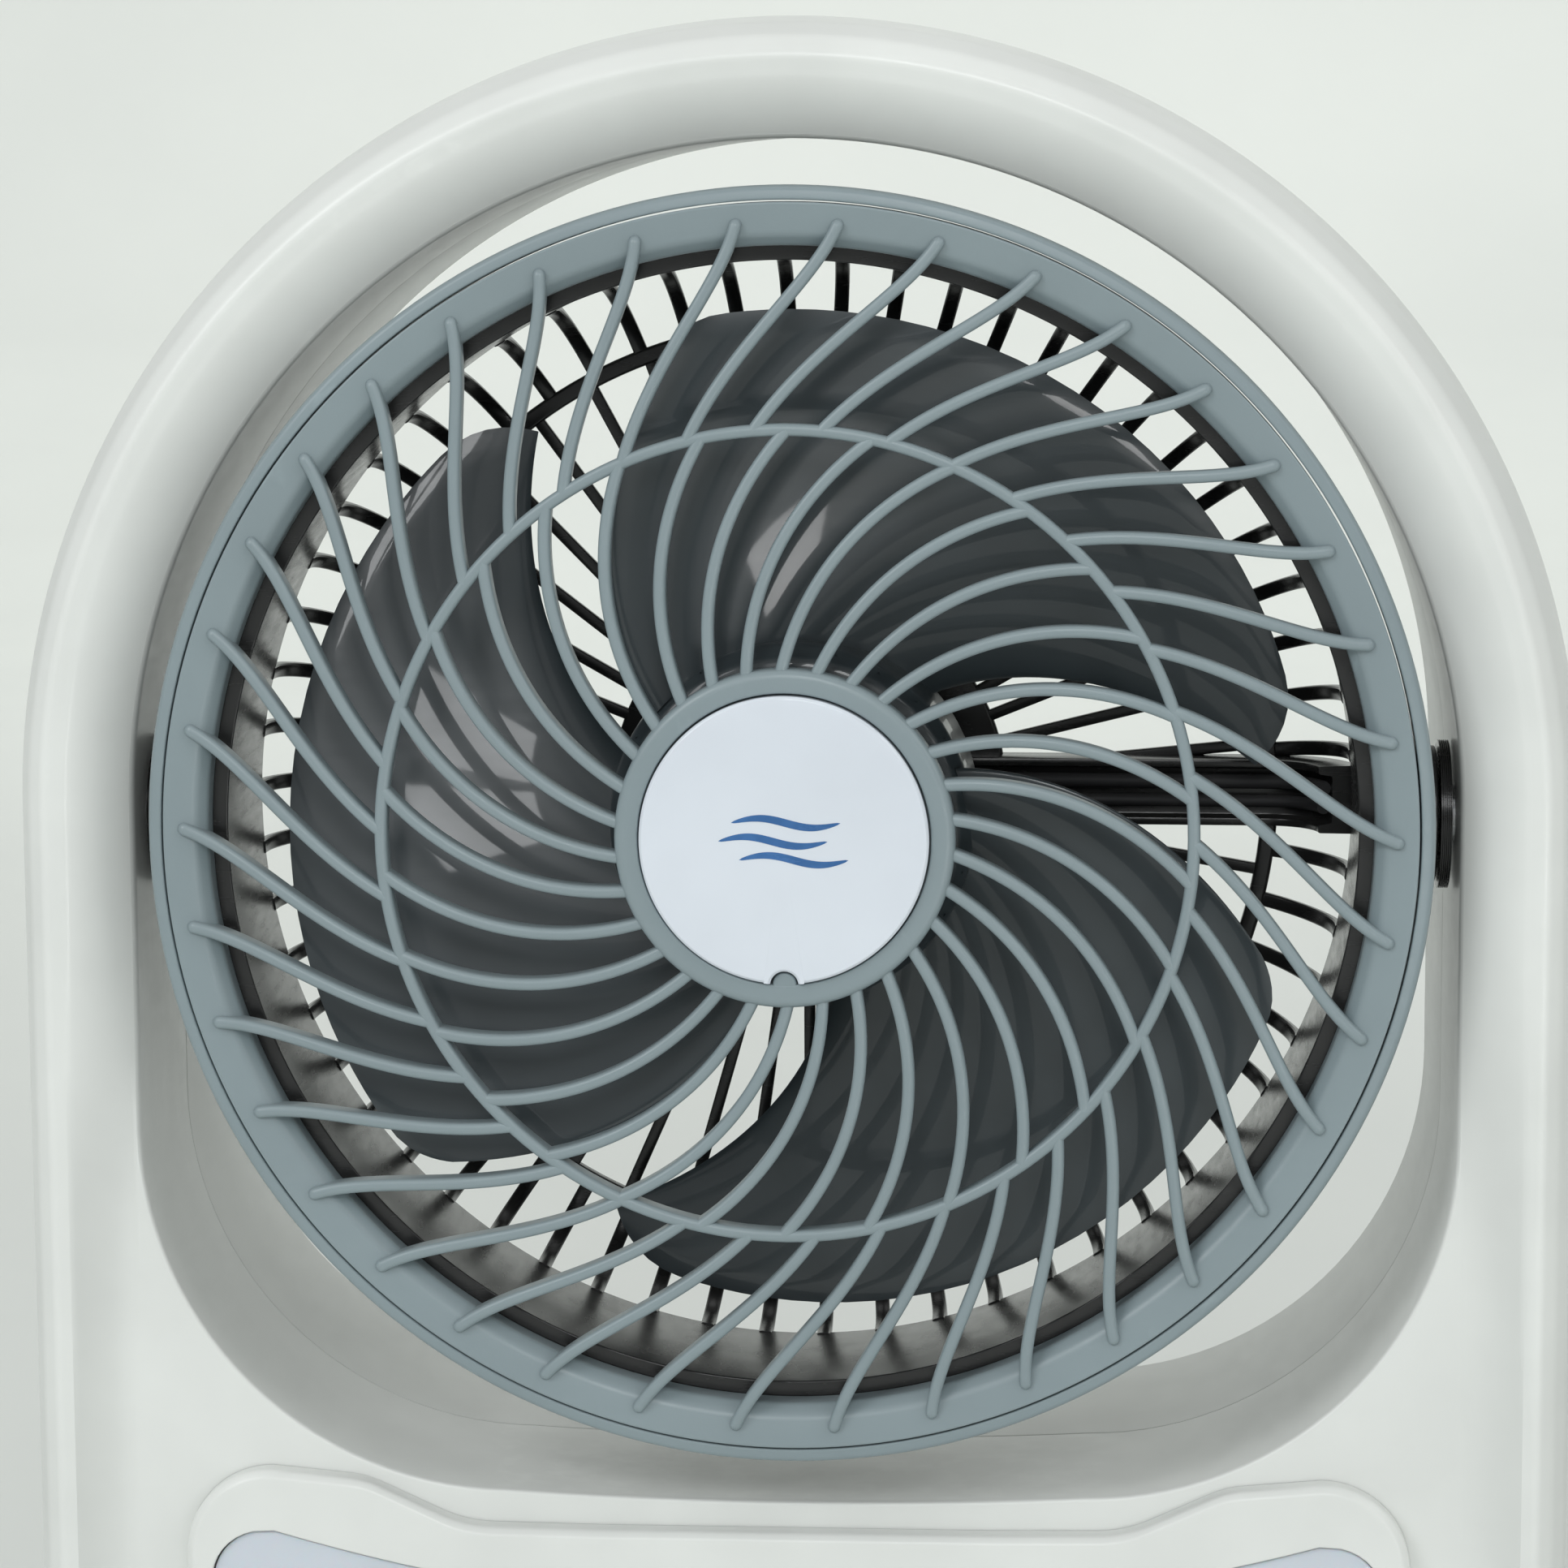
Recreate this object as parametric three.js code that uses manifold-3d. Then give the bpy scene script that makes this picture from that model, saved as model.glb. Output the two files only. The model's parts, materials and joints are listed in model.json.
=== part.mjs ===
// A rechargeable box fan: a round fan head tilts inside an open, arch-shaped housing.
// Millimetres, +Z up, front facing -Y, origin under the middle of the base.
import * as THREE from 'three';
import { mergeVertices } from 'three/addons/utils/BufferGeometryUtils.js';
import Module from 'manifold-3d';

const wasm = await Module();
wasm.setup();

// ---- driving dimensions -------------------------------------------------------------------
const GAP = 0.3; // clearance kept between neighbouring pieces

// housing
const FRAME_R = 154; // outer radius of the arch, and half the width
const FRAME_CORNER = 32; // outer corners at the foot of the housing
const FOOT_H = 4; // how far the feet hold the housing up
const PIVOT_Z = 258; // height of the tilt axis
const ARCH_Z = PIVOT_Z + 3.2; // centre of the arch and of the opening's round top
const OPENING_R = 130.5; // half the width of the opening
const OPENING_CORNER = 72.5; // lower corners of the opening
const OPENING_Z = PIVOT_Z - 135; // bottom of the opening
const OPENING_SAG = 1.7; // how far its bottom edge bows down
const WALL = 2.6;
const FRONT_Y = -48.5; // crest of the front rim
const PANEL_Y = -39; // recessed front panel
const PARTING_Y = 7.5; // where the two shells meet
const BACK_Y = 58.5;
const ARCH_STEPS = 24;
const CORNER_STEPS = 4;
const OPENING_STEPS = 6;

// lamp and controls in the base
const BEZEL_HALF = 122.5;
const HORN_X = 105; // middle of each horn
const HORN_TOP = PIVOT_Z - 130.6;
const BEZEL_MID_Z = PIVOT_Z - 142; // top edge between the horns
const BEZEL_LOW_Z = 62;
const BEZEL_RAISE = 5; // how far it stands ahead of the panel
const LENS_HALF = 117.5;
const LENS_CORNER = 11;
const LENS_CORNER_Z = PIVOT_Z - 143; // upper corners of the lens
const LENS_MID_Z = LENS_CORNER_Z - 15;
const LENS_LOW_Z = BEZEL_LOW_Z + 6;
const KNOB_X = 52;
const KNOB_Z = 44;
const KNOB_R = 12.5;

// head, measured from a point on the fan's axis just behind the grille
const HEAD_Y = -37.5;
const PIVOT_BACK = 20; // the tilt axis lies this far behind that point
const RING_R = 125; // outer edge of the clamp ring
const SEAM_R = 122; // where the clamp ring meets the front grille
const RING_INNER_R = 113.5;
const RING_FRONT = -15.5;
const RING_BACK = -6.6;
const HUB_R = 33;
const BADGE_R = 28;
const MID_RING_R = 78.7;
const RIB_TIP_R = 118; // the outer ribs end on top of the ring
const RIB_W = 2.5;
const RIB_DEPTH = 5;
const INNER_RIBS = 30;
const OUTER_RIBS = 38;
const DOME = 3.4; // the hub stands this far ahead of the ring
const GUARD_R = 112; // middle of the rear guard's cylindrical wall
const GUARD_T = 2.4;
const GUARD_BACK = 54;
const GUARD_BEND = 18;
const GUARD_HUB_R = 41; // the guard is flat up to here
const GUARD_DROP = 1.5; // and then falls this much, as a shallow cone
const GUARD_BAND_END = 34; // the wall is solid up to here
const GUARD_RING_R = 95.3; // thin ring that splits the bars into two rows
const OUTER_BARS = 58;
const INNER_BARS = 45;
const BOSS_R = 13.6;
const BOSS_END = 126.8;
const PIN_R = 6;

// impeller and motor, on the fan's axis
const BLADE_TIP_R = 101;
const HUB_SKIRT_R = 36;
const BLADES = 3;
const MOTOR_R = 24;
const MOTOR_WALL = 1.8;
const MOTOR_FRONT = 14;
const MOTOR_BACK = GUARD_BACK - GUARD_T / 2 - GAP;
const MOTOR_SCREW_R = 16; // distance of the motor's screws from the fan's axis
const BEARING_R = 5;
const SHAFT_R = 2;
const SHAFT_BORE_R = SHAFT_R + 0.2;

// ---- materials ------------------------------------------------------------------------------
const finish = (color, roughness, metalness = 0) =>
  new THREE.MeshStandardMaterial({ color, roughness, metalness });
const whiteShell = () => finish(0xe6e8e4, 0.35);
const blueGrey = () => finish(0x8b999c, 0.45);
const blackPlastic = () => finish(0x1d1f20, 0.35);
const slateGloss = () => finish(0x3a4448, 0.15);
const rubber = () => finish(0x2a2a2a, 0.9);
const steel = () => finish(0xb8bcc0, 0.35, 0.9);
const bronze = () => finish(0xa07a45, 0.4, 0.8);
const lensPlastic = () => finish(0xdfe6ee, 0.1);
const boardGreen = () => finish(0x1f5a38, 0.6);

// ---- solid helpers --------------------------------------------------------------------------
function toManifold(geometry) {
  const bare = new THREE.BufferGeometry();
  bare.setAttribute('position', geometry.getAttribute('position').clone());
  if (geometry.index) bare.setIndex(geometry.index.clone());
  const merged = mergeVertices(bare, 1e-4);
  const mesh = new wasm.Mesh({
    numProp: 3,
    vertProperties: new Float32Array(merged.getAttribute('position').array),
    triVerts: new Uint32Array(merged.index.array),
  });
  return new wasm.Manifold(mesh);
}

function toGeometry(manifold) {
  const mesh = manifold.getMesh();
  const geometry = new THREE.BufferGeometry();
  geometry.setAttribute('position', new THREE.BufferAttribute(mesh.vertProperties, 3));
  geometry.setIndex(new THREE.BufferAttribute(mesh.triVerts, 1));
  return geometry;
}

function join(...geometries) {
  const [first, ...rest] = geometries.map(toManifold);
  return toGeometry(rest.reduce((sum, next) => sum.add(next), first));
}

function cut(geometry, ...tools) {
  return toGeometry(tools.map(toManifold).reduce((left, tool) => left.subtract(tool), toManifold(geometry)));
}

// turns a closed mesh inside out when its faces point inwards
function facingOut(geometry) {
  const position = geometry.getAttribute('position');
  const index = geometry.index.array;
  const corner = [new THREE.Vector3(), new THREE.Vector3(), new THREE.Vector3()];
  let volume = 0;
  for (let i = 0; i < index.length; i += 3) {
    corner.forEach((point, k) => point.fromBufferAttribute(position, index[i + k]));
    volume += corner[0].dot(corner[1].clone().cross(corner[2]));
  }
  if (volume < 0) {
    for (let i = 0; i < index.length; i += 3) {
      [index[i], index[i + 1]] = [index[i + 1], index[i]];
    }
  }
  return geometry;
}

// a flat outline in the XZ plane, extruded from y = front to y = back
function plate(shape, front, back) {
  const geometry = new THREE.ExtrudeGeometry(shape, {
    depth: back - front, bevelEnabled: false, curveSegments: 12,
  });
  geometry.rotateX(Math.PI / 2);
  geometry.translate(0, back, 0);
  return geometry;
}

// a ring or a disc around the Y axis from a closed outline of [radius, y] points
function turned(profile, steps = 32) {
  const points = profile.map(([r, y]) => new THREE.Vector2(r, y));
  if (profile[0][0] > 0) points.push(points[0].clone());
  const lathe = new THREE.LatheGeometry(points, steps);
  lathe.deleteAttribute('normal');
  lathe.deleteAttribute('uv');
  return facingOut(toGeometry(toManifold(facingOut(mergeVertices(lathe, 1e-4)))));
}

const rod = (radius, front, back, steps = 20) =>
  turned([[0, front], [radius, front], [radius, back], [0, back]], steps);

const tube = (inner, outer, front, back, steps = 32) =>
  turned([[inner, front], [outer, front], [outer, back], [inner, back]], steps);

function moved(geometry, x, y, z) {
  return geometry.clone().translate(x, y, z);
}

// lays a piece that was made around the Y axis along X instead
function alongX(geometry) {
  return geometry.clone().rotateZ(-Math.PI / 2);
}

function rectangle(x0, z0, x1, z1) {
  const points = [[x0, z0], [x1, z0], [x1, z1], [x0, z1]];
  return new THREE.Shape(points.map(([x, z]) => new THREE.Vector2(x, z)));
}

const box = (x0, y0, z0, x1, y1, z1) => plate(rectangle(x0, z0, x1, z1), y0, y1);

function shapeOf(points, ...holes) {
  const shape = new THREE.Shape(points.map(([x, z]) => new THREE.Vector2(x, z)));
  for (const hole of holes) {
    shape.holes.push(new THREE.Path(hole.map(([x, z]) => new THREE.Vector2(x, z))));
  }
  return shape;
}

function arc(cx, cz, radius, from, to, steps) {
  const points = [];
  for (let i = 0; i <= steps; i += 1) {
    const angle = THREE.MathUtils.degToRad(from + ((to - from) * i) / steps);
    points.push([cx + radius * Math.cos(angle), cz + radius * Math.sin(angle)]);
  }
  return points;
}

// ---- housing outlines -------------------------------------------------------------------------
function frameOutline(inset) {
  const side = FRAME_R - FRAME_CORNER;
  const low = FOOT_H + FRAME_CORNER;
  return [
    ...arc(0, ARCH_Z, FRAME_R - inset, 0, 180, ARCH_STEPS),
    ...arc(-side, low, FRAME_CORNER - inset, 180, 270, CORNER_STEPS),
    ...arc(side, low, FRAME_CORNER - inset, 270, 360, CORNER_STEPS),
  ];
}

function openingOutline(grow) {
  const side = OPENING_R - OPENING_CORNER;
  const low = OPENING_Z + OPENING_CORNER;
  const bottom = OPENING_Z - grow;
  return [
    ...arc(0, ARCH_Z, OPENING_R + grow, 0, 180, ARCH_STEPS),
    ...arc(-side, low, OPENING_CORNER + grow, 180, 270, OPENING_STEPS),
    [-side * 0.5, bottom - OPENING_SAG * 0.75],
    [0, bottom - OPENING_SAG],
    [side * 0.5, bottom - OPENING_SAG * 0.75],
    ...arc(side, low, OPENING_CORNER + grow, 270, 360, OPENING_STEPS),
  ];
}

// sweeps a closed section of [inset, y] points once round the housing
function frameLoft(section) {
  const rings = section.map(([inset, y]) => frameOutline(inset).map(([x, z]) => [x, y, z]));
  const count = rings[0].length;
  const index = [];
  for (let s = 0; s < rings.length; s += 1) {
    const t = (s + 1) % rings.length;
    for (let i = 0; i < count; i += 1) {
      const j = (i + 1) % count;
      index.push(s * count + i, t * count + i, t * count + j);
      index.push(s * count + i, t * count + j, s * count + j);
    }
  }
  const geometry = new THREE.BufferGeometry();
  geometry.setAttribute('position', new THREE.Float32BufferAttribute(rings.flat(2), 3));
  geometry.setIndex(index);
  return facingOut(geometry);
}

// the wall of the opening between two depths
const throat = (front, back) => plate(shapeOf(openingOutline(WALL), openingOutline(0)), front, back);

// ---- housing shells -----------------------------------------------------------------------------
const SCREW_SPOTS = [
  [-118, 32],
  [118, 32],
  ...[45, 135].map((degrees) => {
    const angle = THREE.MathUtils.degToRad(degrees);
    return [142.2 * Math.cos(angle), ARCH_Z + 142.2 * Math.sin(angle)];
  }),
];
const DOOR = { half: 62, low: 22, high: 86, screwZ: 81.5 };
const VENTS = { count: 7, from: 84, to: 132, low: 34, pitch: 7, slot: 2.6 };
const INLET = { x: -106, z: 56, w: 26, h: 16 };
const JACK = { x: -106, z: 84, r: 5.5 };

function lensOutline(grow) {
  const low = LENS_LOW_Z + LENS_CORNER;
  const side = LENS_HALF - LENS_CORNER;
  const reach = side - 2;
  const steps = 8;
  const top = [];
  for (let i = 0; i <= steps; i += 1) {
    const u = 1 - (2 * i) / steps;
    top.push([u * reach, LENS_MID_Z + grow + (LENS_CORNER_Z - LENS_MID_Z) * u * u]);
  }
  return [
    ...arc(side, LENS_CORNER_Z - LENS_CORNER, LENS_CORNER + grow, 0, 75, 3),
    ...top,
    ...arc(-side, LENS_CORNER_Z - LENS_CORNER, LENS_CORNER + grow, 105, 180, 3),
    ...arc(-side, low, LENS_CORNER + grow, 180, 270, 3),
    ...arc(side, low, LENS_CORNER + grow, 270, 360, 3),
  ];
}

function bezelOutline(inset) {
  const half = BEZEL_HALF - inset;
  const horn = BEZEL_HALF - HORN_X - inset;
  const hornZ = HORN_TOP - (BEZEL_HALF - HORN_X);
  const mid = BEZEL_MID_Z - inset;
  const right = [
    [52, mid],
    [66, mid + 1],
    [77, mid + 4],
    [87, mid + 8],
    [96, mid + 10.4],
    ...arc(HORN_X, hornZ, horn, 90, 0, 6),
  ];
  const left = right.map(([x, z]) => [-x, z]);
  return [
    ...right.reverse(),
    ...left,
    ...arc(-half + 14, BEZEL_LOW_Z + 14 + inset, 14, 180, 270, 4),
    ...arc(half - 14, BEZEL_LOW_Z + 14 + inset, 14, 270, 360, 4),
  ];
}

function frontHousing() {
  const end = PARTING_Y - GAP / 2;
  const rim = frameLoft([
    [0, end], [0, -31], [1.3, -39], [4, -45.4], [7.6, FRONT_Y], [10.4, -47.6], [15.4, -42.6],
    [23.4, PANEL_Y], [23.4, PANEL_Y + 2.4], [14.6, -39.6], [9.8, -44.6], [7.6, -45.4],
    [5.2, -42.6], [3.6, -37.4], [WALL, -30.6], [WALL, end],
  ]);
  const lampHole = lensOutline(-2);
  const panel = plate(shapeOf(frameOutline(22), openingOutline(0), lampHole), PANEL_Y, PANEL_Y + WALL);
  const posts = SCREW_SPOTS.map(([x, z]) => moved(rod(4.2, z < 100 ? PANEL_Y + 1 : -42, end, 8), x, 0, z));
  const pilots = SCREW_SPOTS.map(([x, z]) => moved(rod(1.8, -20, end + 1, 8), x, 0, z));
  const pivotHole = moved(
    alongX(rod(PIN_R + 0.4, -FRAME_R + 12, FRAME_R - 12)), 0, HEAD_Y + PIVOT_BACK, PIVOT_Z,
  );
  const knobHoles = [-KNOB_X, KNOB_X].map((x) => moved(rod(4.6, PANEL_Y - 2, PANEL_Y + 5), x, 0, KNOB_Z));
  const windowHole = moved(rod(3.3, PANEL_Y - 2, PANEL_Y + 5, 12), 0, 0, KNOB_Z);
  const body = join(rim, panel, throat(PANEL_Y + 0.5, end), ...posts);
  return cut(body, ...pilots, pivotHole, ...knobHoles, windowHole);
}

function rearHousing() {
  const start = PARTING_Y + GAP / 2;
  const inner = BACK_Y - WALL;
  const rim = frameLoft([
    [0, start], [0, 47.5], [2.6, 55], [9, BACK_Y], [12, BACK_Y], [12, inner],
    [9.6, inner], [4.8, 52.8], [WALL, 47], [WALL, start],
  ]);
  const { half, low, high } = DOOR;
  const panel = plate(shapeOf(frameOutline(11), openingOutline(0)), inner, BACK_Y);
  const ledge = plate(rectangle(-half - 4, low - 4, half + 4, high + 4), inner - WALL + 0.2, inner + 0.2);
  const wells = SCREW_SPOTS.map(([x, z]) => moved(rod(5.6, start, inner + 1, 10), x, 0, z));
  const bores = SCREW_SPOTS.flatMap(([x, z]) => [
    moved(rod(4, 13, BACK_Y + 1, 10), x, 0, z),
    moved(rod(1.9, start - 1, 14, 8), x, 0, z),
  ]);
  const tools = [
    box(-half, inner + 0.4, low, half, BACK_Y + 1, high),
    box(-half + 9, inner - 9, low + 9, half - 9, BACK_Y + 1, high - 9),
    moved(rod(1.5, inner - 9, BACK_Y, 10), 0, 0, DOOR.screwZ),
    box(INLET.x - INLET.w / 2, inner - 5, INLET.z - INLET.h / 2,
      INLET.x + INLET.w / 2, BACK_Y + 1, INLET.z + INLET.h / 2),
    moved(rod(JACK.r, inner - 5, BACK_Y + 1), JACK.x, 0, JACK.z),
  ];
  for (let i = 0; i < VENTS.count; i += 1) {
    const z = VENTS.low + i * VENTS.pitch;
    tools.push(box(VENTS.from, inner - 5, z, VENTS.to, BACK_Y + 1, z + VENTS.slot));
  }
  const body = join(rim, panel, throat(start, BACK_Y - 0.5), ledge, ...wells);
  return cut(body, ...bores, ...tools);
}

// ---- base: lamp, controls, battery ------------------------------------------------------------------
function lampBezel() {
  const front = PANEL_Y - BEZEL_RAISE;
  const body = plate(shapeOf(bezelOutline(0)), front + 1.5, PANEL_Y - GAP);
  const step = plate(shapeOf(bezelOutline(1.2)), front, front + 2);
  return cut(join(body, step), plate(shapeOf(lensOutline(0)), front - 2, PANEL_Y + 2));
}

function lampDiffuser() {
  const front = PANEL_Y - BEZEL_RAISE + 1.4;
  const rim = plate(shapeOf(lensOutline(-GAP)), front, PANEL_Y - GAP);
  const pocket = plate(shapeOf(lensOutline(-GAP - 2.2)), front + 1.8, PANEL_Y + 1);
  return cut(rim, pocket);
}

function lampReflector() {
  const tray = plate(shapeOf(lensOutline(-2 - GAP)), PANEL_Y + 0.2, PANEL_Y + 10);
  const pocket = plate(shapeOf(lensOutline(-4)), PANEL_Y - 1, PANEL_Y + 8.8);
  return cut(tray, pocket);
}

function lampBoard() {
  const board = plate(shapeOf(lensOutline(-9)), PANEL_Y + 7, PANEL_Y + 8.5);
  const leds = [];
  for (let i = -7; i <= 7; i += 1) {
    leds.push(moved(rod(2.4, PANEL_Y + 4.6, PANEL_Y + 7.4, 6), i * 14, 0, 84));
  }
  return join(board, ...leds);
}

function controlBoard() {
  return box(-70, PANEL_Y + 17, 26, 70, PANEL_Y + 18.6, 62);
}

function rotarySwitch() {
  const can = box(-9, PANEL_Y + WALL + GAP, -9, 9, PANEL_Y + 16.7, 9);
  return join(can, rod(3, PANEL_Y - 7, PANEL_Y + 5, 16));
}

function knob() {
  const front = PANEL_Y - 13;
  const back = PANEL_Y - GAP;
  const cap = turned([[0, front], [KNOB_R - 2.4, front], [KNOB_R - 0.9, front + 1.2],
    [KNOB_R - 0.6, back - 3], [KNOB_R, back - 2], [KNOB_R, back], [0, back]], 24);
  const bore = rod(3 + GAP, PANEL_Y - 7 - GAP, back + 1, 16);
  const mark = box(-0.8, front - 1, 4, 0.8, front + 0.8, KNOB_R - 2);
  return cut(cap, bore, mark);
}

function battery() {
  const block = box(-50, 6, 14, 50, 50, 80);
  const lid = box(-48, 8, 79, 48, 48, 83);
  const tabs = [-38, -24].map((x) => box(x, 24, 82, x + 6, 25, 89));
  return join(block, lid, ...tabs);
}

function batteryDoor() {
  const inner = BACK_Y - WALL + 0.4 + GAP;
  const { half, low, high } = DOOR;
  const panel = box(-half + GAP, inner, low + GAP, half - GAP, BACK_Y, high - GAP);
  const screwHole = moved(rod(1.6, inner - 1, BACK_Y + 1, 10), 0, 0, DOOR.screwZ);
  const sink = moved(rod(3.2, BACK_Y - 1.1, BACK_Y + 1, 14), 0, 0, DOOR.screwZ);
  return cut(panel, screwHole, sink);
}

function screw(headR, headFront, headBack, shankR, shankEnd) {
  return turned([[0, shankEnd], [shankR, shankEnd], [shankR, headFront], [headR, headFront],
    [headR, headBack], [0, headBack]], 10);
}

function chargeInlet() {
  const halfW = INLET.w / 2 - GAP;
  const halfH = INLET.h / 2 - GAP;
  const body = box(-halfW, BACK_Y - 16, -halfH, halfW, BACK_Y - 0.4, halfH);
  const hollow = box(-9, BACK_Y - 11, -4.5, 9, BACK_Y + 1, 4.5);
  const pins = [-4.4, 4.4].map((x) => rod(1.2, BACK_Y - 12, BACK_Y - 3, 10).translate(x, 0, 0));
  return join(cut(body, hollow), ...pins);
}

function chargeJack() {
  const barrel = turned([[0, BACK_Y - 13], [JACK.r - GAP, BACK_Y - 13], [JACK.r - GAP, BACK_Y - 0.4],
    [2.9, BACK_Y - 0.4], [2.9, BACK_Y - 10], [0, BACK_Y - 10]], 20);
  return join(barrel, rod(1, BACK_Y - 11, BACK_Y - 2.5, 10));
}

function foot() {
  const pad = [[0, 0], [9, 0], [10, 1], [10, FOOT_H - GAP], [0, FOOT_H - GAP]];
  return turned(pad, 14).rotateX(Math.PI / 2);
}

// ---- pivot hardware, made for the right side ------------------------------------------------------------
const pivotCollar = () => alongX(tube(PIN_R + 0.4, 14.8, BOSS_END + GAP, OPENING_R - 1, 20));

const pivotPin = () => alongX(turned([[0, 117], [PIN_R, 117], [PIN_R, 146.4], [0, 146.4]], 20));

const springWasher = () =>
  alongX(turned([[PIN_R + GAP, 133.6], [11, 134.3], [11, 135], [PIN_R + GAP, 134.6]], 16));

const pivotNut = () =>
  alongX(plate(shapeOf(arc(0, 0, 10.5, 0, 300, 5), arc(0, 0, PIN_R + 0.5, 0, 337.5, 15)), 135.4, 142));

// ---- grilles ----------------------------------------------------------------------------------------------
// clockwise turn of the first rib of each row, in degrees, at a distance r from the fan's axis
function innerTurn(r) {
  const out = r - 35.6;
  return 0.6 + 0.46 * out + 0.0022 * out ** 2;
}

function outerTurn(r) {
  const out = r - 79.1;
  return -3.9 + 0.58 * out + 0.0029 * out ** 2 - 0.000143 * out ** 3;
}

// one window between two neighbouring ribs, as [x, z] points
function ribWindow(start, step, from, to, turn, steps) {
  const edge = (base, sideways, u) => {
    const r = from + (to - from) * u;
    const slope = THREE.MathUtils.degToRad(turn(r + 0.5) - turn(r - 0.5));
    const halfWidth = (RIB_W / 2) * Math.sqrt(1 + (r * slope) ** 2);
    const angle = THREE.MathUtils.degToRad(base + turn(r)) + sideways * (halfWidth / r);
    return [r * Math.sin(angle), r * Math.cos(angle)];
  };
  const points = [];
  for (let i = 0; i <= steps; i += 1) points.push(edge(start, 1, i / steps));
  for (let i = steps; i >= 0; i -= 1) points.push(edge(start + step, -1, i / steps));
  return points;
}

function frontGrille() {
  const holes = [];
  for (let i = 0; i < INNER_RIBS; i += 1) {
    const step = 360 / INNER_RIBS;
    holes.push(ribWindow(i * step, step, HUB_R, MID_RING_R - RIB_W / 2, innerTurn, 2));
  }
  for (let i = 0; i < OUTER_RIBS; i += 1) {
    const step = 360 / OUTER_RIBS;
    holes.push(ribWindow(i * step, step, MID_RING_R + RIB_W / 2, RING_INNER_R + 0.4, outerTurn, 2));
  }
  const disc = plate(shapeOf(arc(0, 0, RIB_TIP_R, 0, 350, 35), ...holes), 0, RIB_DEPTH);
  const position = disc.getAttribute('position');
  for (let i = 0; i < position.count; i += 1) {
    const r = Math.hypot(position.getX(i), position.getZ(i));
    const front = RING_FRONT - DOME * (1 - (r / SEAM_R) ** 2);
    position.setY(i, position.getY(i) + front);
  }
  const band = turned([[RING_INNER_R, RING_FRONT + 3.6], [115.2, RING_FRONT + 1.2], [118.4, RING_FRONT],
    [SEAM_R - GAP / 2, RING_FRONT + 0.6], [SEAM_R - GAP / 2, RING_BACK], [RING_INNER_R, RING_BACK]], 48);
  const hubFront = RING_FRONT - DOME - 0.6;
  const hub = turned([[BADGE_R + GAP, hubFront + 1], [BADGE_R + 1, hubFront], [HUB_R - 1.6, hubFront],
    [HUB_R, hubFront + 1.8], [HUB_R, hubFront + 5], [BADGE_R + GAP, hubFront + 5]], 30);
  const recess = rod(BADGE_R + GAP, hubFront - 2, RING_FRONT - DOME + 2.2, 30);
  return join(cut(join(disc, band), recess), hub);
}

function grilleBadge() {
  const front = -BACK_Y - HEAD_Y;
  const back = RING_FRONT - DOME + 2.2 - GAP;
  return turned([[0, front], [BADGE_R - 1, front + 0.2], [BADGE_R, front + 1], [BADGE_R, back], [0, back]], 30);
}

const clampRing = () => turned([[SEAM_R + GAP / 2, RING_FRONT + 1.2], [SEAM_R + 1, RING_FRONT + 0.7],
  [RING_R - 0.7, RING_FRONT + 1.2], [RING_R, RING_FRONT + 2.4], [RING_R, RING_BACK],
  [SEAM_R + GAP / 2, RING_BACK]], 48);

// radius and y on the guard's middle surface, s millimetres out from the fan's axis, and its normal
function guardPoint(s) {
  const flat = GUARD_R - GUARD_BEND;
  const quarter = (GUARD_BEND * Math.PI) / 2;
  const rim = GUARD_BACK - GUARD_DROP;
  if (s <= flat) {
    const fall = Math.max(0, (s - GUARD_HUB_R) / (flat - GUARD_HUB_R));
    return { r: s, y: GUARD_BACK - GUARD_DROP * fall, nr: 0, ny: 1 };
  }
  if (s >= flat + quarter) {
    return { r: GUARD_R, y: rim - GUARD_BEND - (s - flat - quarter), nr: 1, ny: 0 };
  }
  const angle = (s - flat) / GUARD_BEND;
  return {
    r: flat + GUARD_BEND * Math.sin(angle),
    y: rim - GUARD_BEND * (1 - Math.cos(angle)),
    nr: Math.sin(angle),
    ny: Math.cos(angle),
  };
}

function guardSlot(middle, halfStep, barHalf, stations) {
  const side = (sign) => stations.map((s) => {
    const angle = middle + sign * (halfStep - barHalf / guardPoint(s).r);
    return [s * Math.sin(angle), s * Math.cos(angle)];
  });
  return [...side(-1), ...side(1).reverse()];
}

// the edge of the bent plate: one tooth for each outer bar, ending inside the solid wall
function guardComb(wallStart) {
  const step = (2 * Math.PI) / OUTER_BARS;
  const root = GUARD_RING_R + 1.7;
  const points = [];
  for (let i = 0; i < OUTER_BARS; i += 1) {
    const corner = (s, sign) => {
      const angle = (i + 0.5) * step + (sign * 1.5) / guardPoint(s).r;
      return [s * Math.sin(angle), s * Math.cos(angle)];
    };
    const stations = [root, 100, 108, 116, wallStart];
    points.push(...stations.map((s) => corner(s, -1)), ...stations.map((s) => corner(s, 1)).reverse());
  }
  return points.reverse();
}

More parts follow.
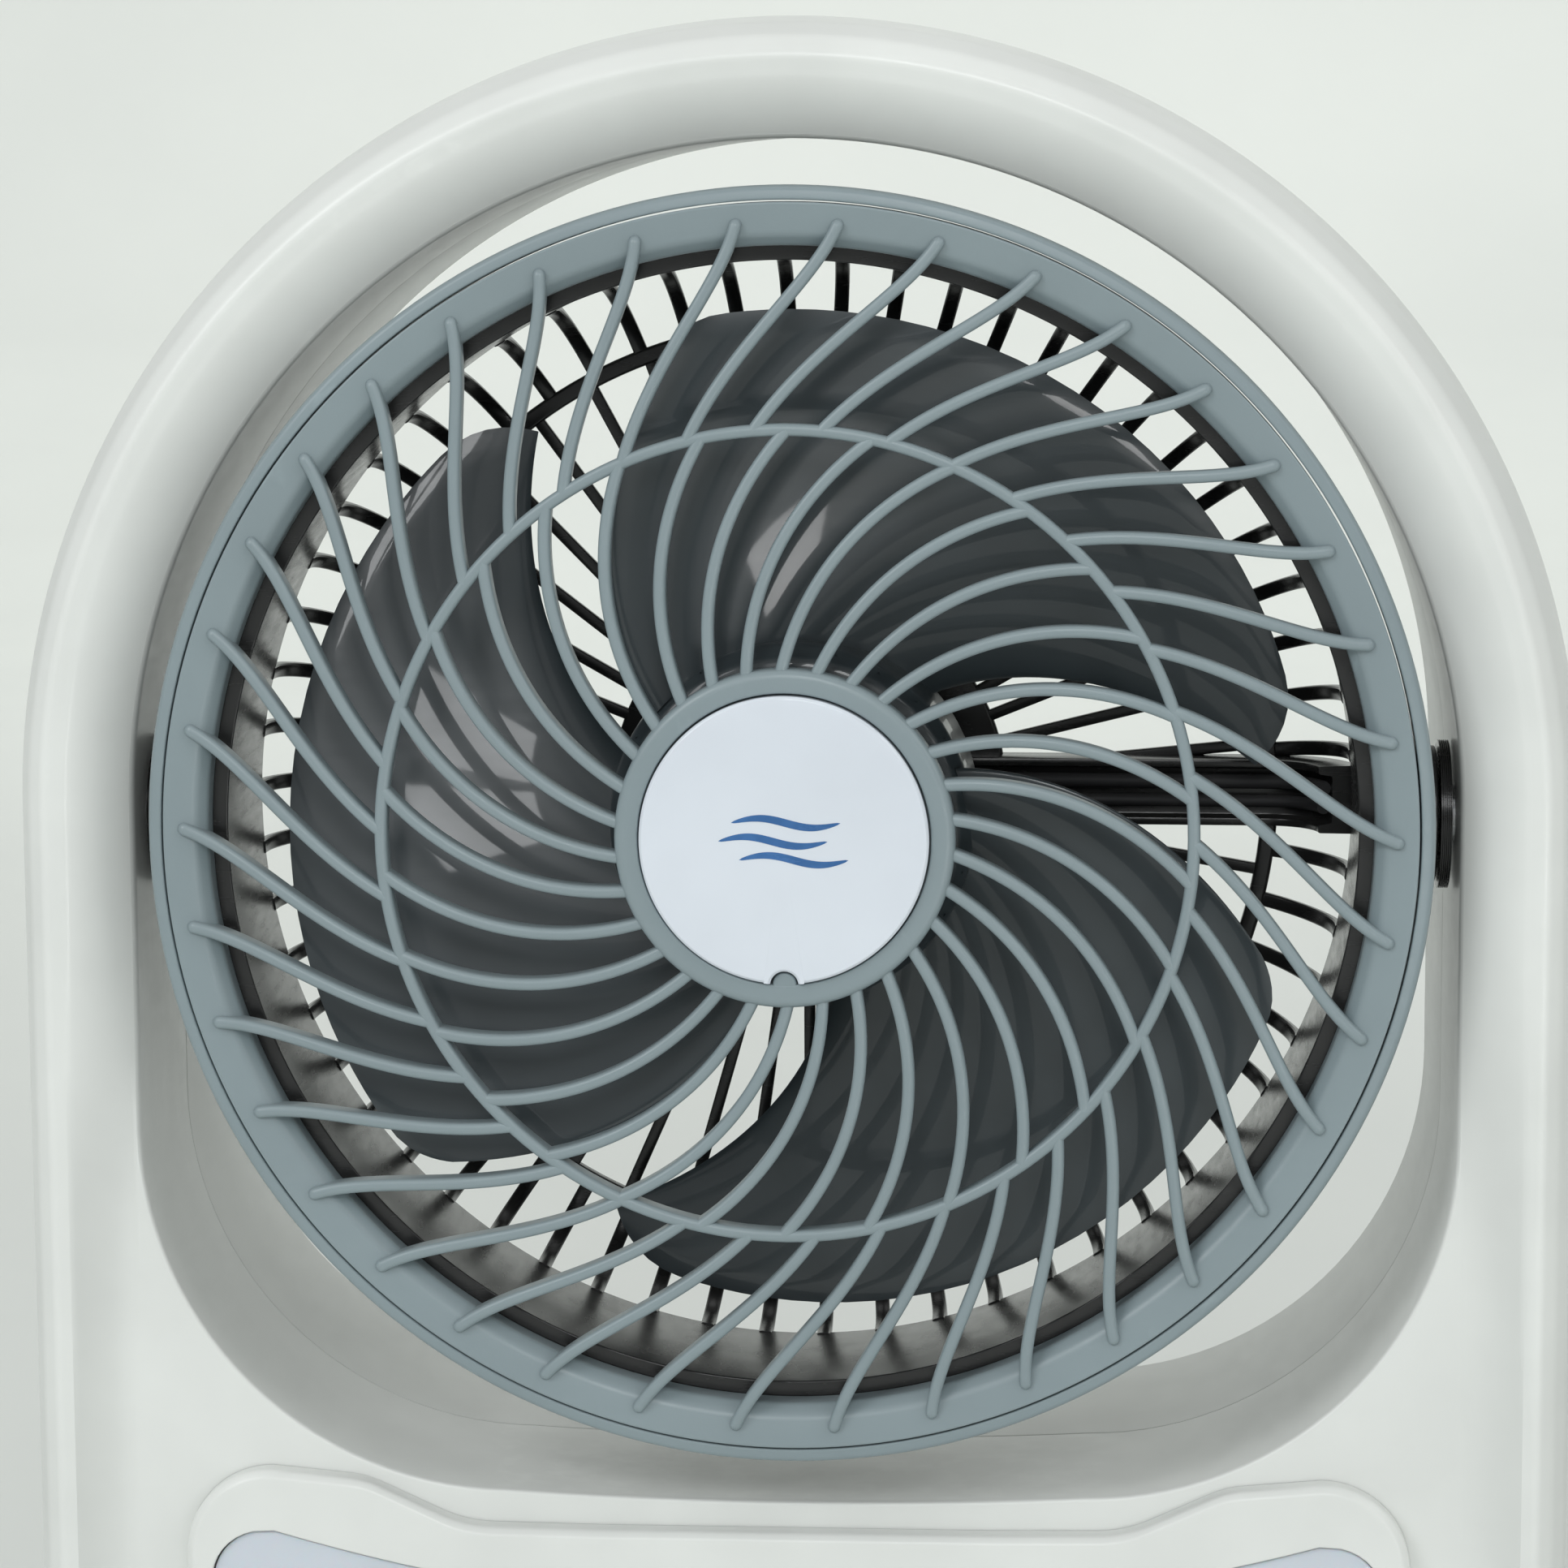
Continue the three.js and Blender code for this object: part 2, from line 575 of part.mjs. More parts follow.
function rearGrille() {
  const bendEnd = GUARD_R + (Math.PI / 2 - 1) * GUARD_BEND;
  const bandStart = bendEnd + (GUARD_BACK - GUARD_DROP - GUARD_BEND - GUARD_BAND_END);
  const holes = [];
  const innerStep = (2 * Math.PI) / INNER_BARS;
  for (let i = 0; i < INNER_BARS; i += 1) {
    holes.push(guardSlot(i * innerStep, innerStep / 2, 1.2, [GUARD_HUB_R + 1, GUARD_RING_R - 1.7]));
  }
  holes.push(arc(0, 0, GUARD_HUB_R - 1, 0, 352, 44));
  const cage = plate(shapeOf(guardComb(bandStart + 2), ...holes), -GUARD_T / 2, GUARD_T / 2);
  const position = cage.getAttribute('position');
  for (let i = 0; i < position.count; i += 1) {
    const s = Math.hypot(position.getX(i), position.getZ(i));
    const { r, y, nr, ny } = guardPoint(s);
    const out = position.getY(i);
    const scale = s > 0 ? (r + nr * out) / s : 1;
    position.setXYZ(i, position.getX(i) * scale, y + ny * out, position.getZ(i) * scale);
  }
  const wall = tube(GUARD_R - 1.7, GUARD_R + 1.9, RING_BACK + GAP + 0.8, GUARD_BAND_END, 48);
  const hub = rod(GUARD_HUB_R - 0.4, GUARD_BACK - GUARD_T / 2 - 0.05, GUARD_BACK + GUARD_T / 2 + 0.05, 40);
  const flange = tube(GUARD_R, SEAM_R - 0.5, RING_BACK + GAP, RING_BACK + 3, 48);
  const boss = alongX(rod(BOSS_R, GUARD_R - 6, BOSS_END));
  const bosses = [0, Math.PI].map((turn) => moved(boss.clone().rotateZ(turn), 0, PIVOT_BACK, 0));
  const socket = alongX(rod(PIN_R + GAP, 116.5, BOSS_END + 1));
  const sockets = [0, Math.PI].map((turn) => moved(socket.clone().rotateZ(turn), 0, PIVOT_BACK, 0));
  const duct = box(34, GUARD_BACK - 8, -7.5, GUARD_R - 4, GUARD_BACK + 0.8, 7.5);
  const mount = tube(MOTOR_R + 0.5, MOTOR_R + 4, GUARD_BACK - 9, GUARD_BACK - 1, 20);
  const bossCaps = bosses.map((piece) => cut(piece, rod(GUARD_R, -10, 60, 48)));
  return cut(join(cage, wall, hub, flange, duct, mount, ...bossCaps), ...sockets, ...motorScrewHoles());
}

function motorScrewSpots() {
  return [90, 210, 330].map((degrees) => {
    const angle = THREE.MathUtils.degToRad(degrees);
    return [MOTOR_SCREW_R * Math.cos(angle), MOTOR_SCREW_R * Math.sin(angle)];
  });
}

const motorScrewHoles = () =>
  motorScrewSpots().map(([x, z]) => moved(rod(1.7, MOTOR_FRONT, GUARD_BACK + 6, 10), x, 0, z));

// ---- motor and impeller --------------------------------------------------------------------------------------
const motorCan = () => turned([[BEARING_R + GAP, MOTOR_FRONT], [MOTOR_R - 1.5, MOTOR_FRONT],
  [MOTOR_R, MOTOR_FRONT + 1.5], [MOTOR_R, MOTOR_BACK], [MOTOR_R - MOTOR_WALL, MOTOR_BACK],
  [MOTOR_R - MOTOR_WALL, MOTOR_FRONT + 2], [BEARING_R + GAP, MOTOR_FRONT + 2]], 20);

function motorEndCap() {
  const disc = tube(BEARING_R + GAP, MOTOR_R - MOTOR_WALL - GAP, MOTOR_BACK - 3, MOTOR_BACK, 20);
  return cut(disc, ...motorScrewHoles());
}

const bearing = (front) => tube(SHAFT_BORE_R, BEARING_R, front, front + 4, 12);

const motorShaft = () => rod(SHAFT_R, -9, MOTOR_BACK - 0.4, 12);

const motorRotor = () => tube(SHAFT_BORE_R, 15, MOTOR_FRONT + 6, MOTOR_BACK - 6, 16);

const motorCover = () => turned([[0, GUARD_BACK + 14.6], [14, GUARD_BACK + 14], [25, GUARD_BACK + 11.6],
  [32, GUARD_BACK + 7.6], [36, GUARD_BACK + 1.2 + GAP], [34, GUARD_BACK + 1.2 + GAP],
  [30.6, GUARD_BACK + 6.2], [24, GUARD_BACK + 9.8], [13.6, GUARD_BACK + 12], [0, GUARD_BACK + 12.6]], 24);

// edges of a blade in degrees, clockwise seen from the front, and their depth, by share u from root to tip
const trailing = (u) => ({ angle: -50 + 35 * u, y: -1.5 - 2 * u });
const leading = (u) => ({ angle: 48 + 37 * u, y: 21 + 10 * u });

function blade() {
  const rows = [0, 0.3, 0.6, 0.88, 1];
  const columns = 5;
  const positions = [];
  for (const side of [-1, 1]) {
    for (const u of rows) {
      const tuck = u === 1 ? 6 : 0;
      const from = trailing(u);
      const to = leading(u);
      for (let c = 0; c <= columns; c += 1) {
        const v = c / columns;
        const angle = THREE.MathUtils.degToRad(from.angle + tuck + (to.angle - from.angle - 2 * tuck) * v);
        const r = HUB_SKIRT_R - 1.4 + (BLADE_TIP_R - HUB_SKIRT_R + 1.4) * u;
        const camber = -3.5 * Math.sin(Math.PI * v);
        const thick = 0.5 + 0.6 * Math.sin(Math.PI * v) + 0.5 * (1 - u);
        const y = from.y + (to.y - from.y) * v + camber + side * thick;
        positions.push(r * Math.sin(angle), y, r * Math.cos(angle));
      }
    }
  }
  const row = columns + 1;
  const sheet = rows.length * row;
  const index = [];
  const quad = (a, b, c, d) => index.push(a, b, c, a, c, d);
  for (let i = 0; i < rows.length - 1; i += 1) {
    for (let c = 0; c < columns; c += 1) {
      const a = i * row + c;
      quad(a, a + 1, a + row + 1, a + row);
      quad(sheet + a, sheet + a + row, sheet + a + row + 1, sheet + a + 1);
    }
    quad(i * row, (i + 1) * row, sheet + (i + 1) * row, sheet + i * row);
    const e = i * row + columns;
    quad(e, sheet + e, sheet + e + row, e + row);
  }
  for (let c = 0; c < columns; c += 1) {
    quad(c, sheet + c, sheet + c + 1, c + 1);
    const t = (rows.length - 1) * row + c;
    quad(t, t + 1, sheet + t + 1, sheet + t);
  }
  const geometry = new THREE.BufferGeometry();
  geometry.setAttribute('position', new THREE.Float32BufferAttribute(positions, 3));
  geometry.setIndex(index);
  return facingOut(geometry);
}

function impeller() {
  const skirt = turned([[SHAFT_BORE_R, -4], [28, -4], [33.5, -2.6], [HUB_SKIRT_R, 1.5], [HUB_SKIRT_R, 27],
    [HUB_SKIRT_R - 2.4, 27], [HUB_SKIRT_R - 2.4, 1.6], [32, 0], [27, -1.4], [6, -1.4], [6, 9],
    [SHAFT_BORE_R, 9]], 24);
  const blades = [];
  for (let i = 0; i < BLADES; i += 1) {
    blades.push(blade().rotateY((i * 2 * Math.PI) / BLADES));
  }
  return join(skirt, ...blades);
}

const impellerNut = () => turned([[SHAFT_BORE_R, -4.3], [10, -4.3], [10, -6], [8.6, -8.4],
  [5, -9.6], [SHAFT_BORE_R, -9.6]], 16);

// ---- assembly ----------------------------------------------------------------------------------------------
const fan = new THREE.Group();
const head = new THREE.Group();
head.position.set(0, HEAD_Y, PIVOT_Z);
fan.add(head);

function add(parent, name, geometry, material, x = 0, y = 0, z = 0) {
  const mesh = new THREE.Mesh(geometry, material);
  mesh.name = name;
  mesh.position.set(x, y, z);
  parent.add(mesh);
  return mesh;
}

add(fan, 'front_housing', frontHousing(), whiteShell());
add(fan, 'rear_housing', rearHousing(), whiteShell());
[[-104, -34], [104, -34], [-104, 34], [104, 34]].forEach(([x, y], i) => {
  add(fan, `foot_${i + 1}`, foot(), rubber(), x, y);
});
add(fan, 'lamp_bezel', lampBezel(), whiteShell());
add(fan, 'lamp_diffuser', lampDiffuser(), lensPlastic());
add(fan, 'lamp_reflector', lampReflector(), whiteShell());
add(fan, 'lamp_board', lampBoard(), boardGreen());
add(fan, 'control_board', controlBoard(), boardGreen());
add(fan, 'speed_switch', rotarySwitch(), blackPlastic(), -KNOB_X, 0, KNOB_Z);
add(fan, 'light_switch', rotarySwitch(), blackPlastic(), KNOB_X, 0, KNOB_Z);
add(fan, 'speed_knob', knob(), blueGrey(), -KNOB_X, 0, KNOB_Z);
add(fan, 'light_knob', knob(), blueGrey(), KNOB_X, 0, KNOB_Z);
add(fan, 'charge_window', rod(3, PANEL_Y - 0.6, PANEL_Y + 4, 16), lensPlastic(), 0, 0, KNOB_Z);
add(fan, 'battery', battery(), blackPlastic());
add(fan, 'battery_door', batteryDoor(), whiteShell());
add(fan, 'battery_door_screw', screw(2.8, BACK_Y - 1.1 + GAP, BACK_Y, 1.2, BACK_Y - 6), steel(),
  0, 0, DOOR.screwZ);
add(fan, 'charge_inlet', chargeInlet(), blackPlastic(), INLET.x, 0, INLET.z);
add(fan, 'charge_jack', chargeJack(), blackPlastic(), JACK.x, 0, JACK.z);
SCREW_SPOTS.forEach(([x, z], i) => {
  add(fan, `housing_screw_${i + 1}`, screw(3.4, 13 + GAP, 16, 1.4, -8), steel(), x, 0, z);
});

for (const [side, turn] of [['right', 0], ['left', Math.PI]]) {
  const sided = (geometry) => geometry.rotateZ(turn);
  add(fan, `${side}_pivot_collar`, sided(pivotCollar()), blackPlastic(), 0, HEAD_Y + PIVOT_BACK, PIVOT_Z);
  add(head, `${side}_pivot_pin`, sided(pivotPin()), steel(), 0, PIVOT_BACK);
  add(head, `${side}_spring_washer`, sided(springWasher()), steel(), 0, PIVOT_BACK);
  add(head, `${side}_pivot_nut`, sided(pivotNut()), steel(), 0, PIVOT_BACK);
}

add(head, 'front_grille', frontGrille(), blueGrey());
add(head, 'clamp_ring', clampRing(), blueGrey());
add(head, 'grille_badge', grilleBadge(), finish(0xdce2ea, 0.2));
add(head, 'rear_grille', rearGrille(), blackPlastic());
add(head, 'motor_can', motorCan(), steel());
add(head, 'motor_end_cap', motorEndCap(), blackPlastic());
add(head, 'front_bearing', bearing(MOTOR_FRONT + 0.2), bronze());
add(head, 'rear_bearing', bearing(MOTOR_BACK - 4), bronze());
add(head, 'motor_cover', motorCover(), blackPlastic());
motorScrewSpots().forEach(([x, z], i) => {
  const piece = screw(2.8, GUARD_BACK + GUARD_T / 2 + GAP, GUARD_BACK + 3.6, 1.4, MOTOR_BACK - 4);
  add(head, `motor_screw_${i + 1}`, piece, steel(), x, 0, z);
});
add(head, 'impeller', impeller(), slateGloss());
add(head, 'impeller_nut', impellerNut(), slateGloss());
add(head, 'motor_shaft', motorShaft(), steel());
add(head, 'motor_rotor', motorRotor(), steel());

export default fan;
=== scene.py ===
"""The looks of the box fan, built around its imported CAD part. Shapes are worked out in millimetres."""

import json
import math

import bmesh
import bpy
import numpy as np
from mathutils import Matrix, Vector
from mathutils.geometry import tessellate_polygon


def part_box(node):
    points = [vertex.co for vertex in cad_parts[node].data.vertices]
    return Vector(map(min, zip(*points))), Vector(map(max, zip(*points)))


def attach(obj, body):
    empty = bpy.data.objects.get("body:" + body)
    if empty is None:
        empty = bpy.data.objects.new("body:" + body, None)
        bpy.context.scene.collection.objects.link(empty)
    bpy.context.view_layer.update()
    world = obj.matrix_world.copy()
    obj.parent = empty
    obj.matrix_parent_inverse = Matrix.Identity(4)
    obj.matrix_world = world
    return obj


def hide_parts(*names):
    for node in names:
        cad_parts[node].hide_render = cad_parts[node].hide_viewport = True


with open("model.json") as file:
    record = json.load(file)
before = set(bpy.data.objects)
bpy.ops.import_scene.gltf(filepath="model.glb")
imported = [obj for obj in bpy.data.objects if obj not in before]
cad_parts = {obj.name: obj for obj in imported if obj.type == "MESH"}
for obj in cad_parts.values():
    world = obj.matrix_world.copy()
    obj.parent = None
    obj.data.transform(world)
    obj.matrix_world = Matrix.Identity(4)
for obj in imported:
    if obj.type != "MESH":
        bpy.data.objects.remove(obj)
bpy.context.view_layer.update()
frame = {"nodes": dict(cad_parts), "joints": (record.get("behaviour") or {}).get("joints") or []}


def box_mm(node):
    low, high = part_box(node)
    return low * 1000, high * 1000


def middle_mm(node):
    low, high = box_mm(node)
    return (low + high) / 2


# ---- places taken from the CAD part -------------------------------------------------------------
JOINTS = {joint["name"]: joint for joint in frame["joints"]}
HEAD = Vector(JOINTS["blade_spin"]["pos_m"]) * 1000
PIVOT = Vector(JOINTS["head_tilt"]["pos_m"]) * 1000
FRONT_LOW, FRONT_HIGH = box_mm("front_housing")
REAR_LOW, REAR_HIGH = box_mm("rear_housing")
BEZEL_LOW, BEZEL_HIGH = box_mm("lamp_bezel")
DOOR_LOW, DOOR_HIGH = box_mm("battery_door")
COVER_LOW, COVER_HIGH = box_mm("motor_cover")
RING_LOW, RING_HIGH = box_mm("clamp_ring")

FRAME_R = FRONT_HIGH.x
ARCH_Z = FRONT_HIGH.z - FRAME_R
FOOT_H = FRONT_LOW.z
FRAME_CORNER = 32
FRONT_Y = FRONT_LOW.y
PANEL_Y = FRONT_Y + 9.5
BACK_Y = REAR_HIGH.y
OPENING_R = 130.5
OPENING_CORNER = 72.5
OPENING_Z = PIVOT.z - 135
OPENING_SAG = 1.7
RING_R = RING_HIGH.x
RING_FRONT = RING_LOW.y - HEAD.y - 0.7
SEAM_R = RING_R - 3


# ---- camera -------------------------------------------------------------------------------------
def make_camera():
    yaw, pitch, roll = (math.radians(a) for a in (-4.15, -8.0, -0.32))
    ahead = Vector((math.sin(yaw) * math.cos(pitch), math.cos(yaw) * math.cos(pitch), math.sin(pitch)))
    level = Vector((math.cos(yaw), -math.sin(yaw), 0))
    above = level.cross(ahead)
    right = level * math.cos(roll) + above * math.sin(roll)
    up = right.cross(ahead)
    camera = bpy.data.objects.new("camera", bpy.data.cameras.new("camera"))
    camera.data.lens = 106.6
    camera.data.sensor_width = 36
    place = (HEAD + Vector((64, -900, 135))) / 1000
    turn = Matrix((right, up, -ahead)).transposed()
    camera.matrix_world = Matrix.Translation(place) @ turn.to_4x4()
    bpy.context.scene.collection.objects.link(camera)
    bpy.context.scene.camera = camera


make_camera()


# ---- materials ----------------------------------------------------------------------------------
def node(tree, kind, settings=(), **inputs):
    made = tree.nodes.new(kind)
    for key, value in dict(settings).items():
        setattr(made, key, value)
    for key, value in inputs.items():
        made.inputs[key.replace("_", " ")].default_value = value
    return made


def noise(tree, coords, scale, detail=3, stretch=None):
    source = coords
    if stretch:
        mapping = node(tree, "ShaderNodeMapping", Scale=stretch)
        tree.links.new(coords, mapping.inputs["Vector"])
        source = mapping.outputs["Vector"]
    texture = node(tree, "ShaderNodeTexNoise", Scale=scale, Detail=detail, Roughness=0.55)
    tree.links.new(source, texture.inputs["Vector"])
    return texture.outputs["Fac"]


def remap(tree, value, low, high, to_low, to_high):
    made = node(tree, "ShaderNodeMapRange")
    for name, number in zip(("From Min", "From Max", "To Min", "To Max"), (low, high, to_low, to_high)):
        made.inputs[name].default_value = number
    tree.links.new(value, made.inputs["Value"])
    return made.outputs["Result"]


def blend_colors(tree, factor, a, b, mode="MIX"):
    made = node(tree, "ShaderNodeMix", {"data_type": "RGBA", "blend_type": mode})
    for socket, value in ((made.inputs[0], factor), (made.inputs[6], a), (made.inputs[7], b)):
        if isinstance(value, bpy.types.NodeSocket):
            tree.links.new(value, socket)
        else:
            socket.default_value = value
    return made.outputs[2]


def moulded(name, color, rough, grain=0.03, grain_scale=2600, spread=0.07, worn=1.25, dust=0.05, **more):
    """Plastic or metal with fine grain, uneven gloss, faint scuffs, paler worn edges and a little dust."""
    material = bpy.data.materials.new(name)
    material.use_nodes = True
    tree = material.node_tree
    shader = tree.nodes["Principled BSDF"]
    coords = node(tree, "ShaderNodeTexCoord").outputs["Object"]
    geometry = node(tree, "ShaderNodeNewGeometry")
    base = (*color, 1)
    shade = (*[c * 0.93 for c in color], 1)
    rubbed = (*[min(1, c * worn + 0.01) for c in color], 1)
    mottled = blend_colors(tree, remap(tree, noise(tree, coords, 26), 0.35, 0.7, 0, 1), base, shade)
    edge = remap(tree, geometry.outputs["Pointiness"], 0.53, 0.6, 0, 0.5)
    patches = remap(tree, noise(tree, coords, 160), 0.45, 0.65, 0, 1)
    edge_patches = node(tree, "ShaderNodeMath", {"operation": "MULTIPLY"})
    tree.links.new(edge, edge_patches.inputs[0])
    tree.links.new(patches, edge_patches.inputs[1])
    rubbed_on = blend_colors(tree, edge_patches.outputs[0], mottled, rubbed)
    split = node(tree, "ShaderNodeSeparateXYZ")
    tree.links.new(geometry.outputs["Normal"], split.inputs[0])
    upward = remap(tree, split.outputs["Z"], 0.5, 1, 0, dust)
    dusty = blend_colors(tree, upward, rubbed_on, (0.55, 0.54, 0.51, 1))
    tree.links.new(dusty, shader.inputs["Base Color"])
    scuffs = noise(tree, coords, 90, 6, (1, 1, 6))
    gloss = remap(tree, scuffs, 0.3, 0.75, rough - spread / 2, rough + spread)
    tree.links.new(gloss, shader.inputs["Roughness"])
    bump = node(tree, "ShaderNodeBump", Strength=grain, Distance=0.0004)
    tree.links.new(noise(tree, coords, grain_scale, 2), bump.inputs["Height"])
    tree.links.new(bump.outputs["Normal"], shader.inputs["Normal"])
    for key, value in more.items():
        shader.inputs[key.replace("_", " ")].default_value = value
    return material


WHITE = moulded("shell_white", (0.76, 0.775, 0.75), 0.38, grain=0.02, worn=1.05,
                Coat_Weight=0.12, Coat_Roughness=0.1)
GREY = moulded("grille_grey", (0.235, 0.29, 0.31), 0.34, grain=0.05, grain_scale=3200)
BADGE = moulded("badge_white", (0.69, 0.735, 0.8), 0.14, grain=0.01, worn=1.03, dust=0.02,
                Coat_Weight=0.6, Coat_Roughness=0.05)
MARK = moulded("badge_mark", (0.03, 0.12, 0.32), 0.25, grain=0.02)
SLATE = moulded("blade_slate", (0.036, 0.047, 0.053), 0.34, grain=0.012, spread=0.05, dust=0.02,
                Coat_Weight=0.38, Coat_Roughness=0.04)
BLACK = moulded("guard_black", (0.018, 0.018, 0.018), 0.24, grain=0.03, dust=0.03)
MATT = moulded("inner_black", (0.02, 0.02, 0.022), 0.6, grain=0.1)
LENS = moulded("lamp_lens", (0.62, 0.66, 0.72), 0.12, grain=0.01, dust=0.02,
               Subsurface_Weight=0.3, Subsurface_Scale=0.004)
GLOW = moulded("reflector_white", (0.8, 0.81, 0.81), 0.4)
RUBBER = moulded("foot_rubber", (0.03, 0.03, 0.03), 0.75, grain=0.3, grain_scale=1500)
STEEL = moulded("steel", (0.55, 0.56, 0.57), 0.3, grain=0.04, spread=0.15, Metallic=1.0)
BRONZE = moulded("bearing_bronze", (0.52, 0.35, 0.16), 0.35, Metallic=1.0)
BOARD = moulded("board_green", (0.02, 0.1, 0.05), 0.45, grain=0.05)
DARK_LINE = moulded("print_grey", (0.12, 0.14, 0.15), 0.5)


# ---- mesh helpers -------------------------------------------------------------------------------
class Shape:
    """Points and faces of one piece, in millimetres from the piece's own origin."""

    def __init__(self):
        self.points = []
        self.faces = []

    def add(self, points, faces, shift=(0, 0, 0)):
        start = len(self.points)
        self.points.extend(np.asarray(points, float) + np.array(shift))
        self.faces.extend(tuple(start + i for i in face) for face in faces)

    def loft(self, rows, around=True, along=False, caps=False, shift=(0, 0, 0)):
        """Skins rows of points. around closes each row on itself, along joins the last row to the first."""
        rows = [np.asarray(row, float) for row in rows]
        count = len(rows[0])
        faces = []
        for i in range(len(rows) if along else len(rows) - 1):
            a = i * count
            b = (i + 1) % len(rows) * count
            for j in range(count if around else count - 1):
                k = (j + 1) % count
                faces.append((a + j, a + k, b + k, b + j))
        if caps:
            faces.append(tuple(range(count))[::-1])
            faces.append(tuple(range((len(rows) - 1) * count, len(rows) * count)))
        self.add(np.concatenate(rows), faces, shift)

    def turn(self, profile, steps=128, axis="Y", shift=(0, 0, 0), closed=False):
        """Turns a profile of (radius, place along the axis) points round the axis."""
        angles = np.linspace(0, 2 * math.pi, steps, endpoint=False)
        rows = []
        for radius, place in profile:
            along = np.full(steps, place)
            across, up = radius * np.sin(angles), radius * np.cos(angles)
            row = {"Y": (across, along, up), "X": (along, across, up), "Z": (across, up, along)}[axis]
            rows.append(np.stack(row, 1))
        self.loft(rows, along=closed, shift=shift)

    def flat(self, y, outline, holes=()):
        """A flat face at depth y between an outline and holes, all lists of (x, z)."""
        loops = [[Vector((x, z, 0)) for x, z in loop] for loop in (outline, *holes)]
        points = [(p.x, y, p.y) for loop in loops for p in loop]
        self.add(points, tessellate_polygon(loops))

    def wall(self, outline, stations):
        """A wall that follows outline(grow) through (grow, y) stations."""
        self.loft([[(x, y, z) for x, z in outline(grow)] for grow, y in stations])


def rounded(points, radius, closed=True, steps=6):
    """A polyline with its corners rounded. radius is one number or one for each point."""
    points = [np.array(p, float) for p in points]
    radii = radius if isinstance(radius, (list, tuple)) else [radius] * len(points)
    out = []
    for i, corner in enumerate(points):
        if radii[i] <= 0 or (not closed and i in (0, len(points) - 1)):
            out.append(tuple(corner))
            continue
        before = points[i - 1] - corner
        after = points[(i + 1) % len(points)] - corner
        reach = [np.linalg.norm(before), np.linalg.norm(after)]
        bend = math.acos(np.clip(before @ after / (reach[0] * reach[1]), -1, 1))
        back = min(radii[i] / max(math.tan(bend / 2), 1e-3), 0.46 * min(reach))
        start = corner + before / reach[0] * back
        end = corner + after / reach[1] * back
        for t in np.linspace(0, 1, steps):
            out.append(tuple((1 - t) ** 2 * start + 2 * t * (1 - t) * corner + t * t * end))
    return out


def arc(cx, cz, radius, start, end, steps):
    angles = np.radians(np.linspace(start, end, steps + 1))
    return [(cx + radius * math.cos(a), cz + radius * math.sin(a)) for a in angles]


def round_rect(cx, cz, half_w, half_h, radius):
    def outline(grow):
        w, h = half_w - radius, half_h - radius
        points = []
        for sx, sz, start in ((1, 1, 0), (-1, 1, 90), (-1, -1, 180), (1, -1, 270)):
            points += arc(cx + sx * w, cz + sz * h, radius + grow, start, start + 90, 6)
        return points

    return outline


def circle(cx, cz, radius, steps=48):
    return lambda grow: arc(cx, cz, radius + grow, 0, 360 - 360 / steps, steps - 1)


def piece(name, shape, body, material, nodes=(), sharp=32, origin=(0, 0, 0)):
    """Makes the object, in metres in the row frame, parents it to its body and hides the CAD nodes it stands
    in for.
    """
    mesh = bpy.data.meshes.new(name)
    points = (np.array(shape.points) + np.array(origin)) / 1000
    mesh.from_pydata(points.tolist(), [], [tuple(face) for face in shape.faces])
    work = bmesh.new()
    work.from_mesh(mesh)
    bmesh.ops.remove_doubles(work, verts=work.verts, dist=2e-6)
    bmesh.ops.recalc_face_normals(work, faces=work.faces)
    work.to_mesh(mesh)
    work.free()
    mesh.polygons.foreach_set("use_smooth", [True] * len(mesh.polygons))
    mesh.set_sharp_from_angle(angle=math.radians(sharp))
    made = bpy.data.objects.new(name, mesh)
    bpy.context.scene.collection.objects.link(made)
    mesh.materials.append(material)
    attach(made, body)
    if nodes:
        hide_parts(*nodes)
    return made


# ---- housing ------------------------------------------------------------------------------------
def frame_outline(inset):
    side = FRAME_R - FRAME_CORNER
    low = FOOT_H + FRAME_CORNER
    left = [(-FRAME_R + inset, z) for z in np.linspace(ARCH_Z, low, 10)[1:-1]]
    floor = [(x, FOOT_H + inset) for x in np.linspace(-side, side, 12)[1:-1]]
    right = [(FRAME_R - inset, z) for z in np.linspace(low, ARCH_Z, 10)[1:-1]]
    return (arc(0, ARCH_Z, FRAME_R - inset, 0, 180, 120) + left
            + arc(-side, low, FRAME_CORNER - inset, 180, 270, 16) + floor
            + arc(side, low, FRAME_CORNER - inset, 270, 360, 16) + right)


def opening_outline(grow):
    side = OPENING_R - OPENING_CORNER
    low = OPENING_Z + OPENING_CORNER
    left = [(-OPENING_R - grow, z) for z in np.linspace(ARCH_Z, low, 6)[1:-1]]
    right = [(OPENING_R + grow, z) for z in np.linspace(low, ARCH_Z, 6)[1:-1]]
    floor = [(x, OPENING_Z - grow - OPENING_SAG * (1 - (x / side) ** 2))
             for x in np.linspace(-side, side, 24)[1:-1]]
    return (arc(0, ARCH_Z, OPENING_R + grow, 0, 180, 120) + left
            + arc(-side, low, OPENING_CORNER + grow, 180, 270, 28) + floor
            + arc(side, low, OPENING_CORNER + grow, 270, 360, 28) + right)


CREST_INSET, ROLL_END_INSET = 10.6, 22.58
BLEND_LOW, BLEND_HIGH = 150, 225  # heights between which the rolled edge turns into a flat panel


def front_row(outline, high, low):
    """One row of the front face: depth high round the arch, blending to depth low at the base."""
    row = []
    for x, z in outline:
        up = min(1, max(0, (z - BLEND_LOW) / (BLEND_HIGH - BLEND_LOW)))
        up = up * up * (3 - 2 * up)
        row.append((x, high * up + low * (1 - up), z))
    return row


